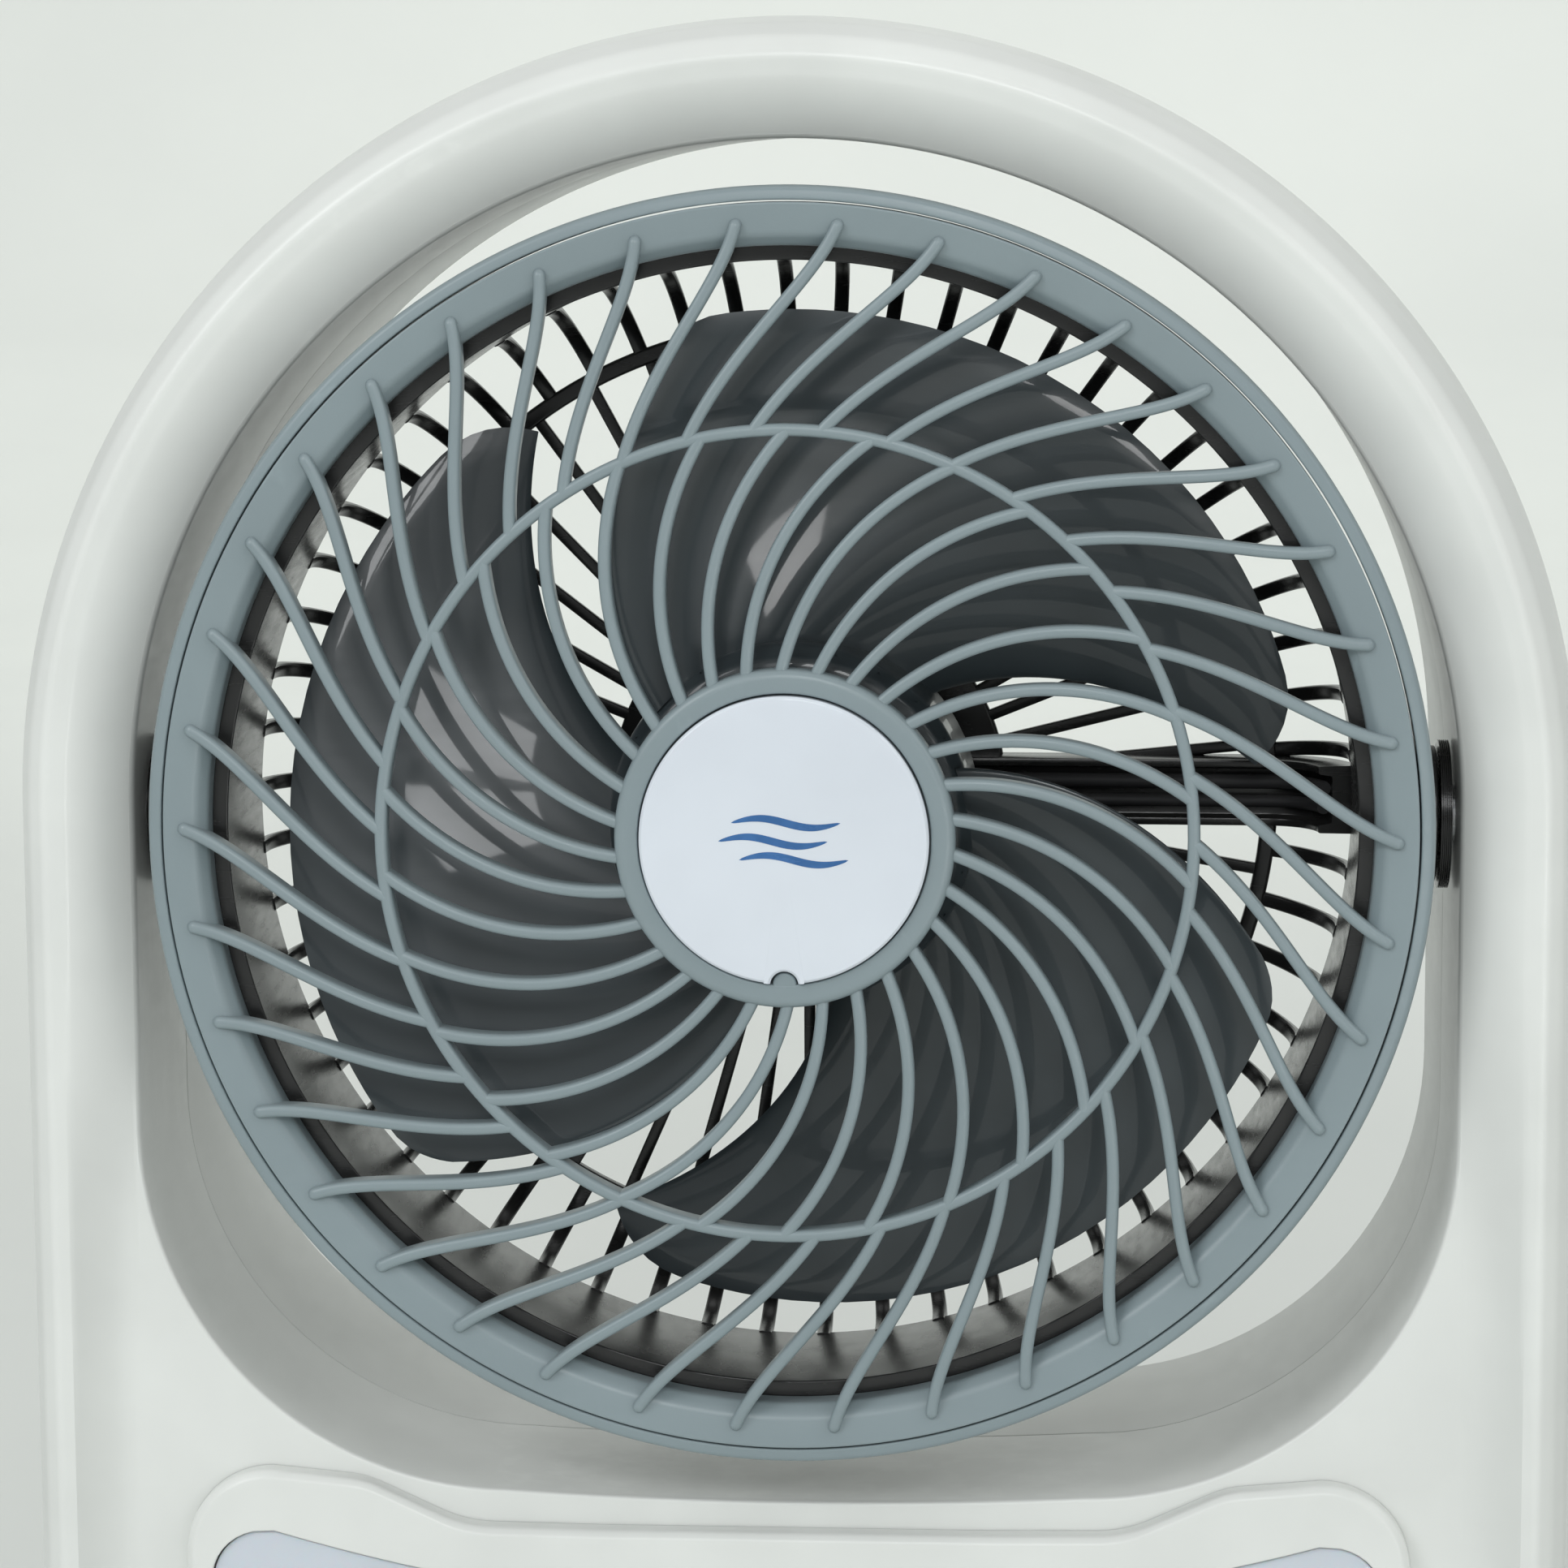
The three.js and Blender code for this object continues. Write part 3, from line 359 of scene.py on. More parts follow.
def front_housing():
    shape = Shape()
    end = FRONT_HIGH.y
    panel = PANEL_Y - 0.1
    edge = [(2.2, end), (0, end), (0, -31), (1.3, -39), (4, -45.4), (7.4, FRONT_Y), (10.4, -47.6)]
    edge = rounded([*edge, (13, -46.8)], [0, 0.3, 10, 8, 6, 3.4, 0.5, 0], closed=False, steps=7)[:-1]
    reach = np.linspace(0, 1, 17)[1:]
    insets = CREST_INSET + (ROLL_END_INSET - CREST_INSET) * reach
    crest = edge[-1][1]
    rolled = crest + (panel - crest) * reach ** 1.35
    coved = crest + (panel - crest) * np.sin(np.pi / 2 * np.minimum(1, 1.12 * reach)) ** 0.9
    outlines = [(inset, y, y) for inset, y in edge] + list(zip(insets, rolled, coved))
    shape.loft([front_row(frame_outline(inset), high, low) for inset, high, low in outlines])
    holes = [lens_outline(-2), *[circle(x, KNOB_Z, 4.6)(0) for x in (-KNOB_X, KNOB_X)],
             circle(0, KNOB_Z, 3.3)(0)]
    shape.flat(panel, frame_outline(ROLL_END_INSET), [opening_outline(0.9), *holes])
    lip = [(0.9, 0, 0), (0.72, 0.2, 0.02), (0.5, 0.46, 0.1), (0.3, 0.8, 0.27), (0.12, 1.3, 0.55),
           (0.03, 1.8, 0.95), (0, 2.6, 2.6)]
    shape.loft([front_row(opening_outline(grow), panel + high, panel + low) for grow, high, low in lip])
    shape.wall(opening_outline, [(0, panel + 2.6), (0, end - 0.2), (0.2, end), (2.2, end)])
    shape.wall(lens_outline, [(-2, panel), (-2, panel + 2.6)])
    tongue = end - 3, end + 3
    shape.wall(lambda inset: frame_outline(inset), [(1.6, y) for y in tongue])
    shape.wall(opening_outline, [(1.6, y) for y in tongue])
    return piece("front_shell", shape, "housing", WHITE, ["front_housing"])


SCREW_SPOTS = [middle_mm(f"housing_screw_{i}") for i in (1, 2, 3, 4)]
INLET = middle_mm("charge_inlet")
JACK = middle_mm("charge_jack")
KNOB_X = middle_mm("light_knob").x
KNOB_Z = middle_mm("light_knob").z
VENT_X, VENT_Z, VENT_STEP, VENT_COUNT = 108, 35.3, 7, 7


def rear_housing():
    shape = Shape()
    start = REAR_LOW.y
    section = rounded([(2.2, start), (0, start), (0, 47.5), (2.6, 55), (9, BACK_Y), (12, BACK_Y)],
                      [0, 0.3, 8, 7, 5, 0], closed=False, steps=8)
    shape.wall(lambda inset: frame_outline(inset), section)
    door_mid = (DOOR_LOW + DOOR_HIGH) / 2
    door_half = (DOOR_HIGH - DOOR_LOW) / 2
    recess = round_rect(door_mid.x, door_mid.z, door_half.x + 0.3, door_half.z + 0.3, 2)
    holes = [(recess, 2), (round_rect(INLET.x, INLET.z, 13, 8, 1.2), 5), (circle(JACK.x, JACK.z, 5.5), 5)]
    holes += [(round_rect(VENT_X, VENT_Z + VENT_STEP * i, 24, 1.3, 1.25), 2.6) for i in range(VENT_COUNT)]
    holes += [(circle(spot.x, spot.z, 4, 24), 40) for spot in SCREW_SPOTS]
    shape.flat(BACK_Y, frame_outline(12), [opening_outline(0.9), *[hole(0.35) for hole, _ in holes]])
    for hole, depth in holes:
        shape.wall(hole, [(0.35, BACK_Y), (0.1, BACK_Y - 0.12), (0, BACK_Y - 0.4), (0, BACK_Y - depth)])
    shape.flat(BACK_Y - 2, recess(0))
    lip = rounded([(0.9, BACK_Y), (0, BACK_Y), (0, start), (2.2, start)], [0, 0.9, 0.3, 0], closed=False)
    shape.wall(opening_outline, lip)
    return piece("rear_shell", shape, "housing", WHITE, ["rear_housing"])


# ---- base: lamp, knobs, door, feet --------------------------------------------------------------
LENS_HALF, LENS_CORNER = 117.5, 11
LENS_CORNER_Z = PIVOT.z - 143
LENS_LOW_Z = BEZEL_LOW.z + 6
HORN_X, HORN_R = 105, 17.5
BEZEL_MID_Z = PIVOT.z - 142


def lens_outline(grow):
    low = LENS_LOW_Z + LENS_CORNER
    side = LENS_HALF - LENS_CORNER
    top = [(u * (side - 2), LENS_CORNER_Z - 15 * (1 - u * u) + grow) for u in np.linspace(1, -1, 33)]
    high = LENS_CORNER_Z - LENS_CORNER
    radius = LENS_CORNER + grow
    return (arc(side, high, radius, 0, 78, 8) + top + arc(-side, high, radius, 102, 180, 8)
            + arc(-side, low, radius, 180, 270, 8) + arc(side, low, radius, 270, 360, 8))


def bezel_outline(grow):
    half = BEZEL_HIGH.x + grow
    horn_z = BEZEL_HIGH.z - HORN_R
    mid = BEZEL_MID_Z + grow
    slope = rounded([(40, mid), (66, mid + 0.4), (86, mid + 9.6), (HORN_X - 1, horn_z + HORN_R + grow)],
                    [0, 26, 20, 0], closed=False, steps=9)[:-1]
    right = slope + arc(HORN_X, horn_z, HORN_R + grow, 90, 0, 16)
    left = [(-x, z) for x, z in right]
    low = BEZEL_LOW.z + 14
    return (right[::-1] + left + arc(-half + 14 + grow, low, 14 + grow, 180, 270, 10)
            + arc(half - 14 - grow, low, 14 + grow, 270, 360, 10))


def lamp():
    front = BEZEL_LOW.y
    shape = Shape()
    side = rounded([(0, PANEL_Y - 0.3), (0, front + 1.2), (-1.4, front), (-2.6, front)], [0, 1.6, 1.2, 0],
                   closed=False)
    shape.wall(bezel_outline, side)
    shape.flat(front, bezel_outline(-2.6), [lens_outline(0.8)])
    root = PANEL_Y - 0.3
    shape.wall(lens_outline, rounded([(0.8, front), (0, front), (0, root)], [0, 0.8, 0], closed=False))
    piece("lamp_frame", shape, "housing", WHITE, ["lamp_bezel"])
    lens = Shape()
    face = front + 1.1
    lens.wall(lens_outline, rounded([(-0.3, root), (-0.3, face), (-1.6, face)], [0, 0.9, 0], closed=False))
    lens.flat(face, lens_outline(-1.6))
    piece("lamp_cover", lens, "housing", LENS, ["lamp_diffuser"])


def knob(name, side, nodes):
    front, back = box_mm(nodes[0])[0].y, box_mm(nodes[0])[1].y
    shape = Shape()
    profile = rounded([(0, front + 0.3), (8.4, front), (10.6, front), (11.6, back - 3), (12.5, back - 2),
                       (12.5, back)], [0, 1, 1.4, 0.4, 0.4, 0], closed=False)
    angles = np.linspace(0, 2 * math.pi, 288, endpoint=False)
    rows = []
    for radius, y in profile:
        flute = 0.3 * np.clip((y - front - 1) / 2, 0, 1) * (y < back - 3.2)
        r = radius - flute * (0.5 - 0.5 * np.cos(angles * 36))
        rows.append(np.stack((r * np.sin(angles), np.full_like(angles, y), r * np.cos(angles)), 1))
    shape.loft(rows)
    made = piece(name, shape, nodes[1], GREY, [nodes[0]], sharp=50, origin=(side, 0, KNOB_Z))
    line = Shape()
    outline = round_rect(0, 7, 0.6, 2.6, 0.55)
    line.wall(outline, [(0, front + 0.35), (0, front - 0.02), (-0.15, front - 0.12)])
    line.flat(front - 0.12, outline(-0.15))
    piece(name + "_line", line, nodes[1], BADGE, origin=(side, 0, KNOB_Z))
    return made


def dial_marks():
    """Plain raised dots round each knob, growing with the setting."""
    for name, side, count, span in (("speed_dots", -KNOB_X, 4, 135), ("light_dots", KNOB_X, 3, 90)):
        shape = Shape()
        for i in range(count):
            angle = math.radians(i * span / (count - 1))
            size = 0.6 + 0.22 * i
            spot = (side + 16.5 * math.sin(angle), 0, KNOB_Z + 16.5 * math.cos(angle))
            dot = [(0, PANEL_Y - 0.35), (size - 0.2, PANEL_Y - 0.32), (size, PANEL_Y - 0.1)]
            shape.turn(dot, 20, shift=spot)
        piece(name, shape, "housing", DARK_LINE)


def door():
    mid = (DOOR_LOW + DOOR_HIGH) / 2
    half = (DOOR_HIGH - DOOR_LOW) / 2
    outline = round_rect(mid.x, mid.z, half.x, half.z, 1.8)
    screw_low, screw_high = box_mm("battery_door_screw")
    sink = circle(0, (screw_low.z + screw_high.z) / 2, 3.2)
    shape = Shape()
    shape.wall(outline, [(0, DOOR_LOW.y), (0, BACK_Y - 0.4), (-0.12, BACK_Y - 0.12), (-0.4, BACK_Y)])
    shape.flat(BACK_Y, outline(-0.4), [sink(0.25)])
    shape.wall(sink, [(0.25, BACK_Y), (0, BACK_Y - 0.25), (0, BACK_Y - 1.5)])
    for i in range(6):
        ridge = round_rect(0, DOOR_LOW.z + 8 + 2.4 * i, 14, 0.55, 0.5)
        shape.wall(ridge, [(0, BACK_Y - 0.1), (-0.1, BACK_Y + 0.25), (-0.4, BACK_Y + 0.35)])
        shape.flat(BACK_Y + 0.35, ridge(-0.4))
    piece("battery_lid", shape, "housing", WHITE, ["battery_door"])


def feet():
    for i in (1, 2, 3, 4):
        low, high = box_mm(f"foot_{i}")
        mid = (low + high) / 2
        shape = Shape()
        profile = rounded([(0, 0), (3, 0), (3.4, 0.5), (8.6, 0.5), (8.9, 0), (9.6, 0.4), (10, 1.4),
                           (10, high.z)], [0, 0.2, 0.2, 0.2, 0.3, 0.4, 0.5, 0], closed=False, steps=4)
        shape.turn(profile, 64, "Z")
        piece(f"foot_pad_{i}", shape, "housing", RUBBER, [f"foot_{i}"],
              origin=(mid.x, mid.y, 0))


# ---- front grille -------------------------------------------------------------------------------
HUB_R, BADGE_R, MID_R = 33, 28, 78.7
BAND_IN, SEAM_GAP = 113.5, 0.17
INNER_RIBS, OUTER_RIBS = 30, 38
KEY_R, KEY_GAP = 2.3, 0.45
KEY_Z = -BADGE_R - 0.25


def grille_front(r):
    return RING_FRONT - 3.4 * (1 - (r / SEAM_R) ** 2)


def inner_turn(r):
    out = r - 35.6
    return 0.6 + 0.46 * out + 0.0022 * out ** 2


def outer_turn(r):
    out = r - 79.1
    return -3.9 + 0.58 * out + 0.0029 * out ** 2 - 0.000143 * out ** 3


RIB_SECTION = [(1.02, 5.2), (1.1, 3.6), (1.22, 1.15), (1.14, 0.62), (0.9, 0.24), (0.5, 0.04), (0, 0),
               (-0.5, 0.04), (-0.9, 0.24), (-1.14, 0.62), (-1.22, 1.15), (-1.1, 3.6), (-1.02, 5.2)]


TIP = 1.35  # length of a rib's rounded tip


def rib(shape, turn, base, start, end, tip):
    radii = np.linspace(start, end, 30)
    if tip:
        rounding = end - TIP + TIP * np.sin(np.linspace(0.2, 1.57, 9))
        radii = np.concatenate([np.linspace(start, end - TIP, 28), rounding])
    rows = []
    for r in radii:
        angle = math.radians(base + turn(r))
        ahead = math.radians(base + turn(r + 0.1))
        here = np.array((r * math.sin(angle), r * math.cos(angle)))
        there = np.array(((r + 0.1) * math.sin(ahead), (r + 0.1) * math.cos(ahead)))
        along = (there - here) / np.linalg.norm(there - here)
        across = np.array((along[1], -along[0]))
        narrow = math.sqrt(max(0.0, 1 - (max(0, r - (end - TIP)) / TIP) ** 2)) if tip else 1
        front = grille_front(r) + (1 - narrow) * 1.1
        row = []
        for side, depth in RIB_SECTION:
            spot = here + across * side * (0.06 + 0.94 * narrow)
            row.append((spot[0], front + depth * (0.25 + 0.75 * narrow), spot[1]))
        rows.append(row)
    shape.loft(rows, caps=True)


def front_grille():
    shape = Shape()
    for i in range(INNER_RIBS):
        rib(shape, inner_turn, 360 / INNER_RIBS * i, HUB_R - 1.5, MID_R, False)
    for i in range(OUTER_RIBS):
        rib(shape, outer_turn, 360 / OUTER_RIBS * i, MID_R, 118.9, True)
    middle = [(MID_R + side, grille_front(MID_R) + depth) for side, depth in RIB_SECTION]
    shape.turn(middle, 180, closed=True)
    seam = SEAM_R - SEAM_GAP
    back = RING_FRONT + 8.9
    band = rounded([(BAND_IN, back), (BAND_IN, -11.6), (115.6, -13.9), (seam, RING_FRONT + 0.25),
                    (seam, back)], [0.3, 2.0, 3.2, 0.45, 0.3])
    shape.turn(band, 240, closed=True)
    hub_front = grille_front(0) - 0.6
    hub = rounded([(BADGE_R + 0.35, hub_front + 5), (BADGE_R + 0.35, hub_front), (HUB_R, hub_front),
                   (HUB_R, hub_front + 5)], [0.2, 0.45, 1.9, 0.3])
    shape.turn(hub, 160, closed=True)
    key_front = hub_front + 0.07
    key = rounded([(0, key_front), (KEY_R, key_front), (KEY_R, hub_front + 4.6)], [0, 0.5, 0], closed=False)
    shape.turn(key, 40, shift=(0, 0, KEY_Z))
    floor_r = BADGE_R + 0.6
    floor_y, floor_back = hub_front + 3.2, hub_front + 4.8
    floor = [(0, floor_y), (floor_r, floor_y), (floor_r, floor_back), (0, floor_back)]
    shape.turn(floor, 96)
    piece("grille", shape, "fan_head", GREY, ["front_grille"], origin=HEAD)


BADGE_DOME = 0.35


def badge_outline(grow):
    radius, notch = BADGE_R + grow, KEY_R + KEY_GAP - grow
    reach = math.asin(min(1, notch / radius))
    round_angles = np.linspace(-math.pi + reach, math.pi - reach, 150)
    rim = [(radius * math.sin(a), radius * math.cos(a)) for a in round_angles]
    cutout = [(notch * math.sin(a), KEY_Z + notch * math.cos(a)) for a in np.linspace(1.45, -1.45, 17)]
    return rim + cutout


def badge():
    low, high = box_mm("grille_badge")
    front, back = low.y - HEAD.y + 0.05, high.y - HEAD.y
    shape = Shape()
    side = rounded([(0, back), (0, front + 0.5), (-0.5, front + 0.05), (-1.2, front)], [0, 0.4, 0.4, 0],
                   closed=False)
    shape.wall(badge_outline, side)
    edge = np.array([(x, 0, z) for x, z in badge_outline(-1.2)])
    rows = [edge * k + np.array((0, front - BADGE_DOME * (1 - k * k), 0))
            for k in (1, 0.85, 0.7, 0.5, 0.3, 0.1, 0)]
    shape.loft(rows)
    piece("badge", shape, "fan_head", BADGE, ["grille_badge"], origin=HEAD)
    mark = Shape()
    for x0, x1, z in ((-10, 11, 3.6), (-12.5, 8.5, 0), (-8.5, 12.5, -3.6)):
        xs = np.linspace(x0, x1, 40)
        rows = []
        for x in xs:
            t = (x - x0) / (x1 - x0)
            half = 0.75 * math.sin(math.pi * t) ** 0.5 + 0.02
            mid = z + 0.9 * math.sin(2 * math.pi * t)
            y = front - BADGE_DOME * (1 - (x * x + z * z) / 27 ** 2)
            low, high = mid - half, mid + half
            corners = (y + 0.2, low), (y - 0.05, low), (y - 0.05, high), (y + 0.2, high)
            rows.append([(x, *corner) for corner in corners])
        mark.loft(rows, caps=True)
    piece("badge_waves", mark, "fan_head", MARK, origin=HEAD)


def clamp_ring():
    seam = SEAM_R + SEAM_GAP
    back = RING_HIGH.y - HEAD.y
    profile = rounded([(seam, back), (seam, RING_FRONT + 0.75), (RING_R - 0.5, RING_FRONT + 1.1),
                       (RING_R, RING_FRONT + 2.6), (RING_R, back)], [0.3, 0.5, 1.3, 1, 0.3])
    shape = Shape()
    shape.turn(profile, 240, closed=True)
    piece("outer_ring", shape, "fan_head", GREY, ["clamp_ring"], origin=HEAD)


# ---- rear guard and pivots ----------------------------------------------------------------------
GUARD_R, GUARD_BACK, GUARD_BEND, GUARD_DROP, GUARD_HUB_R = 112, 54, 18, 1.5, 41
BAND_END, GUARD_RING_R = 34, 95.3
OUTER_BARS, INNER_BARS = 58, 45
BEND_END = GUARD_R + (math.pi / 2 - 1) * GUARD_BEND
BAND_START = BEND_END + (GUARD_BACK - GUARD_DROP - GUARD_BEND - BAND_END)


def guard_point(s):
    """Radius and depth on the guard's middle surface, and the outward normal, s out from the fan's axis."""
    flat = GUARD_R - GUARD_BEND
    quarter = GUARD_BEND * math.pi / 2
    rim = GUARD_BACK - GUARD_DROP
    if s <= flat:
        return s, GUARD_BACK - GUARD_DROP * max(0, (s - GUARD_HUB_R) / (flat - GUARD_HUB_R)), 0, 1
    if s >= flat + quarter:
        return GUARD_R, rim - GUARD_BEND - (s - flat - quarter), 1, 0
    angle = (s - flat) / GUARD_BEND
    sine, cosine = math.sin(angle), math.cos(angle)
    return flat + GUARD_BEND * sine, rim - GUARD_BEND * (1 - cosine), sine, cosine


def guard_bar(shape, angle, start, end, section, steps=18):
    """Sweeps a section of (sideways, outwards) points along the guard."""
    outwards = np.array((math.sin(angle), 0, math.cos(angle)))
    sideways = np.array((math.cos(angle), 0, -math.sin(angle)))
    rows = []
    for s in np.linspace(start, end, steps):
        r, y, nr, ny = guard_point(s)
        middle = outwards * r + np.array((0, y, 0))
        normal = outwards * nr + np.array((0, ny, 0))
        rows.append([middle + sideways * a + normal * b for a, b in section])
    shape.loft(rows, caps=True)


def rear_guard():
    shape = Shape()
    wall = rounded([(110.6, -6.3), (121.5, -6.3), (121.5, -3.6), (113.4, -3.6), (113.2, BAND_END),
                    (111.1, BAND_END)], [0.4, 0.3, 0.3, 1.2, 0.9, 0.9])
    shape.turn(wall, 240, closed=True)
    outer = rounded([(-1.55, -1.2), (1.55, -1.2), (1.4, 1.2), (-1.4, 1.2)], 0.8, steps=4)
    inner = rounded([(-1.25, -1.2), (1.25, -1.2), (1.1, 1.2), (-1.1, 1.2)], 0.7, steps=4)
    for i in range(OUTER_BARS):
        angle = math.radians((i + 0.5) * 360 / OUTER_BARS + 1.1)
        guard_bar(shape, angle, GUARD_RING_R - 0.5, BAND_START + 2, outer)
    for i in range(INNER_BARS):
        angle = math.radians((i + 0.5) * 360 / INNER_BARS)
        guard_bar(shape, angle, GUARD_HUB_R - 3, GUARD_RING_R, inner, 4)
    r, y, _, _ = guard_point(GUARD_RING_R)
    ring = rounded([(r - 1.7, y - 1.5), (r + 1.7, y - 1.5), (r + 1.7, y + 1.3), (r - 1.7, y + 1.3)], 0.7)
    shape.turn(ring, 180, closed=True)
    plate = rounded([(0, 52.7), (GUARD_HUB_R, 52.7), (GUARD_HUB_R, 55.3), (0, 55.3)], [0, 0.8, 0.8, 0],
                    closed=False)
    shape.turn(plate, 120)
    cup = rounded([(24.5, 45), (28, 45), (28, 53), (24.5, 53)], 0.5)
    shape.turn(cup, 96, closed=True)
    duct = rounded([(-7.2, -7.4), (-5.6, -7.4), (-5.2, -4.6), (4.4, -4.6), (4.8, -7.4), (6.4, -7.4),
                    (6.6, 0.8), (-7.4, 0.8)], 0.45, steps=3)
    guard_bar(shape, math.pi / 2, 30, BAND_START - 2, duct, 40)
    piece("guard", shape, "fan_head", BLACK, ["rear_grille"], origin=HEAD)
    wire = Shape()
    turns = np.linspace(0, 6.28, 12, endpoint=False)
    for offset, radius in ((-2.6, 1.5), (1.4, 1.3)):
        section = [(offset + radius * math.sin(a), -6.1 + radius * math.cos(a)) for a in turns]
        guard_bar(wire, math.pi / 2, 31, BAND_START - 4, section, 40)
    piece("motor_wires", wire, "fan_head", MATT, origin=HEAD)


def pivots():
    for side, sign in (("right", 1), ("left", -1)):
        boss = Shape()
        smooth = rounded([(6.4, 112.5), (12.6, 112.5), (12.6, 121), (13.6, 121.5), (13.6, 126.8),
                          (6.4, 126.8)], [0, 0.4, 0.4, 0.4, 0.5, 0])
        boss.turn([(r, sign * x) for r, x in smooth], 96, "X", closed=True)
        piece(f"{side}_bush", boss, "fan_head", BLACK, origin=PIVOT)
        collar = Shape()
        low, high = box_mm(f"{side}_pivot_collar")
        inner = min(abs(low.x), abs(high.x))
        outer = max(abs(low.x), abs(high.x))
        ridged = [(6.6, sign * inner)]
        for i in range(6):
            x = inner + 0.1 + i * (outer - inner - 0.1) / 6
            ridge = (14.2, 0), (14.75, 0.08), (14.75, 0.24), (14.2, 0.34)
            ridged += [(radius, sign * (x + step)) for radius, step in ridge]
        ridged.append((6.6, sign * outer))
        collar.turn(ridged, 96, "X", closed=True)
        piece(f"{side}_collar", collar, "housing", BLACK, [f"{side}_pivot_collar"], sharp=25,
              origin=PIVOT)


def motor_cover():
    front, back = COVER_LOW.y - HEAD.y, COVER_HIGH.y - HEAD.y
    outer = rounded([(0, back), (14, back - 0.6), (25, back - 3), (32, back - 7), (36, front), (34, front),
                     (30.6, back - 8.4), (24, back - 4.8), (0, back - 2)], [0, 20, 14, 8, 0.4, 0.4, 6, 6, 0],
                    closed=False, steps=8)
    shape = Shape()
    shape.turn(outer, 128)
    for i in range(3):
        ring = 12 + 6 * i
        y = back - (0.5, 1.6, 3.0)[i]
        bead = rounded([(ring - 0.7, y + 0.3), (ring, y + 0.75), (ring + 0.7, y + 0.1)], 0.3, closed=False)
        shape.turn(bead, 96)
    piece("motor_cap", shape, "fan_head", BLACK, ["motor_cover"], origin=HEAD)


# ---- impeller -----------------------------------------------------------------------------------
BLADES = 3
BLADE_ROOT_R, BLADE_TIP_R = 34.4, 101


def blade(shape, turn):
    """One blade as two sheets: u runs from root to tip, v from the trailing to the leading edge."""
    across, out = 44, 26
    sheets = []
    for side in (-1, 1):
        rows = []
        for u in np.linspace(0, 1, out) ** 0.9:
            row = []
            for v in np.linspace(0, 1, across):
                v = 0.5 - 0.5 * math.cos(math.pi * v)
                lead, trail = 48 + 37 * u, -50 + 35 * u
                corner = 5.5 * max(0, 1 - v / 0.075) ** 2 + 9 * max(0, 1 - (1 - v) / 0.11) ** 2.4
                r = BLADE_ROOT_R + (BLADE_TIP_R - corner - BLADE_ROOT_R) * u
                angle = math.radians(trail + (lead - trail) * v) + turn
                front, back = -1.5 - 2 * u, 21 + 10 * u
                thick = (0.85 + 0.5 * (1 - u)) * (1 - (2 * v - 1) ** 12) ** 0.5 * (1 - u ** 24) ** 0.5
                y = front + (back - front) * v - 3.6 * math.sin(math.pi * v) + side * thick
                row.append((r * math.sin(angle), y, r * math.cos(angle)))
            rows.append(row)
        sheets.append(rows)
    for rows in sheets:
        shape.loft(rows, around=False)


def impeller():
    shape = Shape()
    profile = rounded([(2.2, -4), (28, -4), (33.2, -3.2), (36, 0.6), (36.2, 27), (33.6, 27), (33.6, 1.6),
                       (2.2, 1)], [0, 8, 3.4, 3, 0.5, 0.5, 1, 0], steps=8)
    shape.turn(profile, 160, closed=True)
    for i in range(24):
        angle = 2 * math.pi * i / 24
        ridge = [(34.8 * math.sin(angle), y, 34.8 * math.cos(angle)) for y in (-1.2, 26)]
        section = (-0.3, 0), (0, 0.3), (0.3, 0), (0, -0.3)
        shape.loft([[(x + dx, y, z + dz) for dx, dz in section] for x, y, z in ridge])
    for i in range(BLADES):
        blade(shape, i * 2 * math.pi / BLADES)
    piece("rotor", shape, "fan_rotor", SLATE, ["impeller"], sharp=50, origin=HEAD)
    nut = Shape()
    nut_profile = rounded([(2.2, -4.3), (10, -4.3), (10, -6), (8.6, -8.4), (5, -9.6), (2.2, -9.6)],
                          [0, 0.3, 0.8, 1.2, 1, 0])
    nut.turn(nut_profile, 64, closed=True)
    piece("rotor_nut", nut, "fan_rotor", SLATE, ["impeller_nut"], origin=HEAD)


# ---- CAD nodes that stay ------------------------------------------------------------------------
KEPT = {
    "lamp_reflector": GLOW, "lamp_board": BOARD, "control_board": BOARD, "speed_switch": MATT,
    "light_switch": MATT,
    "battery": MATT, "charge_window": LENS, "charge_inlet": BLACK, "charge_jack": BLACK, "motor_can": STEEL,
    "motor_end_cap": BLACK, "front_bearing": BRONZE, "rear_bearing": BRONZE, "motor_shaft": STEEL,
    "motor_rotor": STEEL, "battery_door_screw": STEEL,
}


def dress_kept_nodes():
    for name, made in frame["nodes"].items():
        if made.hide_render:
            continue
        material = KEPT.get(name, STEEL)
        if made.material_slots:
            made.material_slots[0].material = material
        else:
            made.data.materials.append(material)


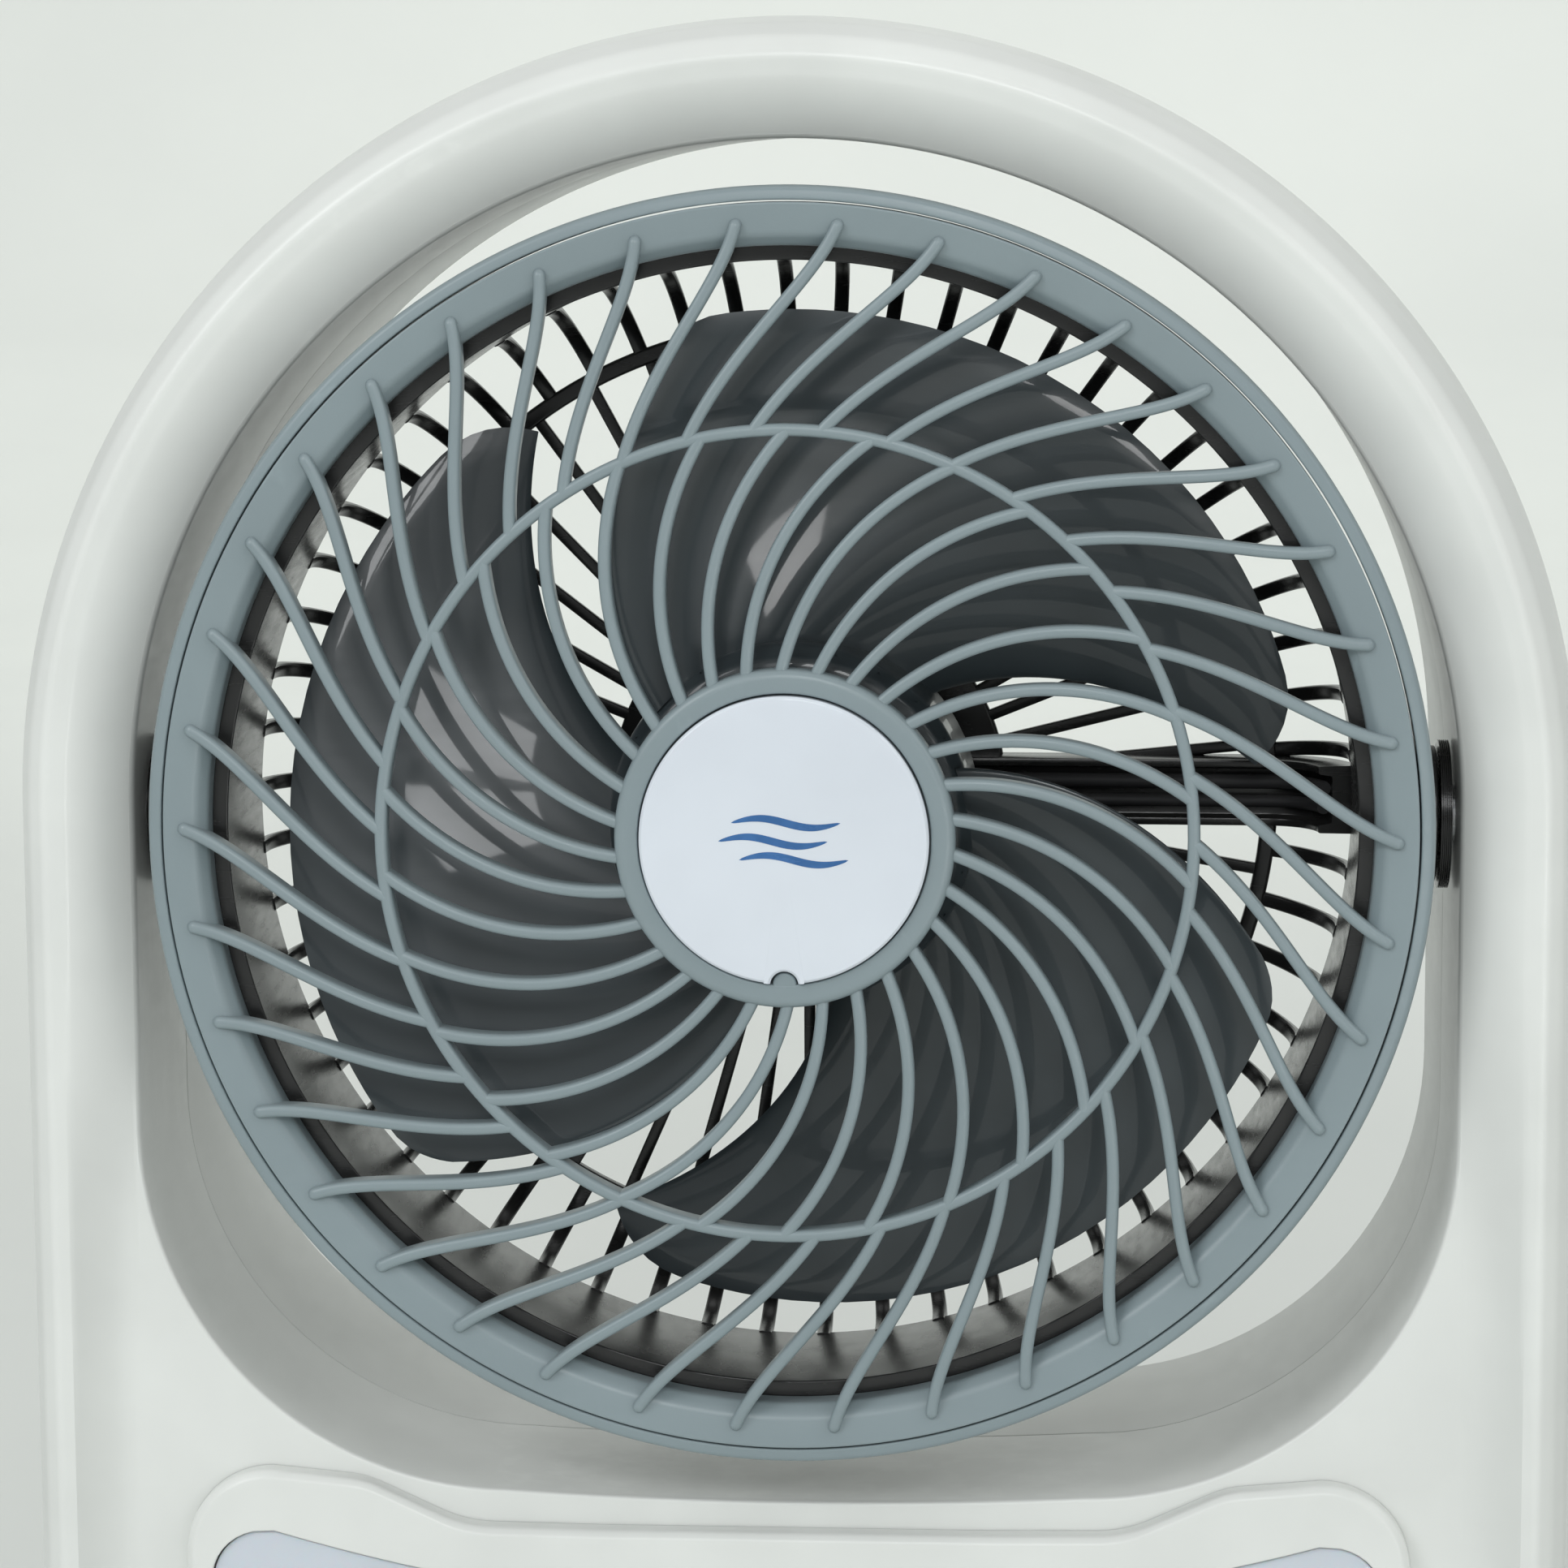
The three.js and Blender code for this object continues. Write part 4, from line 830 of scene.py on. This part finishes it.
# ---- stage --------------------------------------------------------------------------------------
def stage():
    material = bpy.data.materials.new("floor")
    material.use_nodes = True
    tree = material.node_tree
    shader = tree.nodes["Principled BSDF"]
    shader.inputs["Roughness"].default_value = 0.6
    coords = node(tree, "ShaderNodeTexCoord").outputs["Object"]
    clouds = remap(tree, noise(tree, coords, 1.6, 5), 0.3, 0.7, 0, 1)
    color = blend_colors(tree, clouds, (0.8, 0.82, 0.79, 1), (0.75, 0.77, 0.745, 1))
    tree.links.new(color, shader.inputs["Base Color"])
    profile = [(-4, 0), (2.6, 0), (3.0, 0.05), (3.4, 0.2), (3.7, 0.5), (3.8, 1.0), (3.8, 3.5)]
    points = [(x, y, z) for y, z in profile for x in (-5, 5)]
    faces = [(2 * i, 2 * i + 1, 2 * i + 3, 2 * i + 2) for i in range(len(profile) - 1)]
    mesh = bpy.data.meshes.new("floor")
    mesh.from_pydata(points, [], faces)
    mesh.polygons.foreach_set("use_smooth", [True] * len(faces))
    mesh.materials.append(material)
    floor = bpy.data.objects.new("floor", mesh)
    bpy.context.scene.collection.objects.link(floor)


def area_light(name, place, target, size, power, color=(1, 1, 1), spread=180):
    data = bpy.data.lights.new(name, "AREA")
    data.shape = "RECTANGLE"
    data.size, data.size_y = size
    data.energy = power
    data.color = color
    data.spread = math.radians(spread)
    lamp_object = bpy.data.objects.new(name, data)
    lamp_object.location = place
    lamp_object.rotation_mode = "QUATERNION"
    lamp_object.rotation_quaternion = (Vector(target) - Vector(place)).to_track_quat("-Z", "Y")
    bpy.context.scene.collection.objects.link(lamp_object)


def lights():
    middle = HEAD / 1000
    area_light("window_left", middle + Vector((-1.3, -1.5, 1.2)), middle, (1.0, 0.9), 15, (0.97, 0.985, 1))
    area_light("window_right", middle + Vector((1.5, -0.9, 0.9)), middle, (0.9, 1.1), 5)
    for name, side in (("pane_left", -0.04), ("pane_right", 0.26)):
        area_light(name, middle + Vector((side, -1.8, 0.88)), middle, (0.24, 0.46), 3.8, (0.97, 0.99, 1))
    area_light("low_pane", middle + Vector((0.45, -1.0, -0.2)), middle, (0.16, 0.14), 0.06, spread=50)
    area_light("sky", middle + Vector((0, 0.1, 1.9)), middle, (2.4, 2.0), 7, (1, 1, 0.98))
    area_light("backdrop_wash", (0, 2.0, 2.2), (0, 3.8, 0.6), (4.0, 1.0), 36, (0.99, 1, 0.98))
    world = bpy.data.worlds.new("world")
    world.use_nodes = True
    world.node_tree.nodes["Background"].inputs["Color"].default_value = (0.93, 0.96, 0.95, 1)
    world.node_tree.nodes["Background"].inputs["Strength"].default_value = 0.47
    bpy.context.scene.world = world
    bpy.context.scene.view_settings.view_transform = "Standard"


front_housing()
rear_housing()
lamp()
knob("speed_dial_cap", -KNOB_X, ("speed_knob", "speed_dial"))
knob("light_dial_cap", KNOB_X, ("light_knob", "light_dial"))
dial_marks()
door()
feet()
front_grille()
badge()
clamp_ring()
rear_guard()
pivots()
motor_cover()
impeller()
dress_kept_nodes()
stage()
lights()
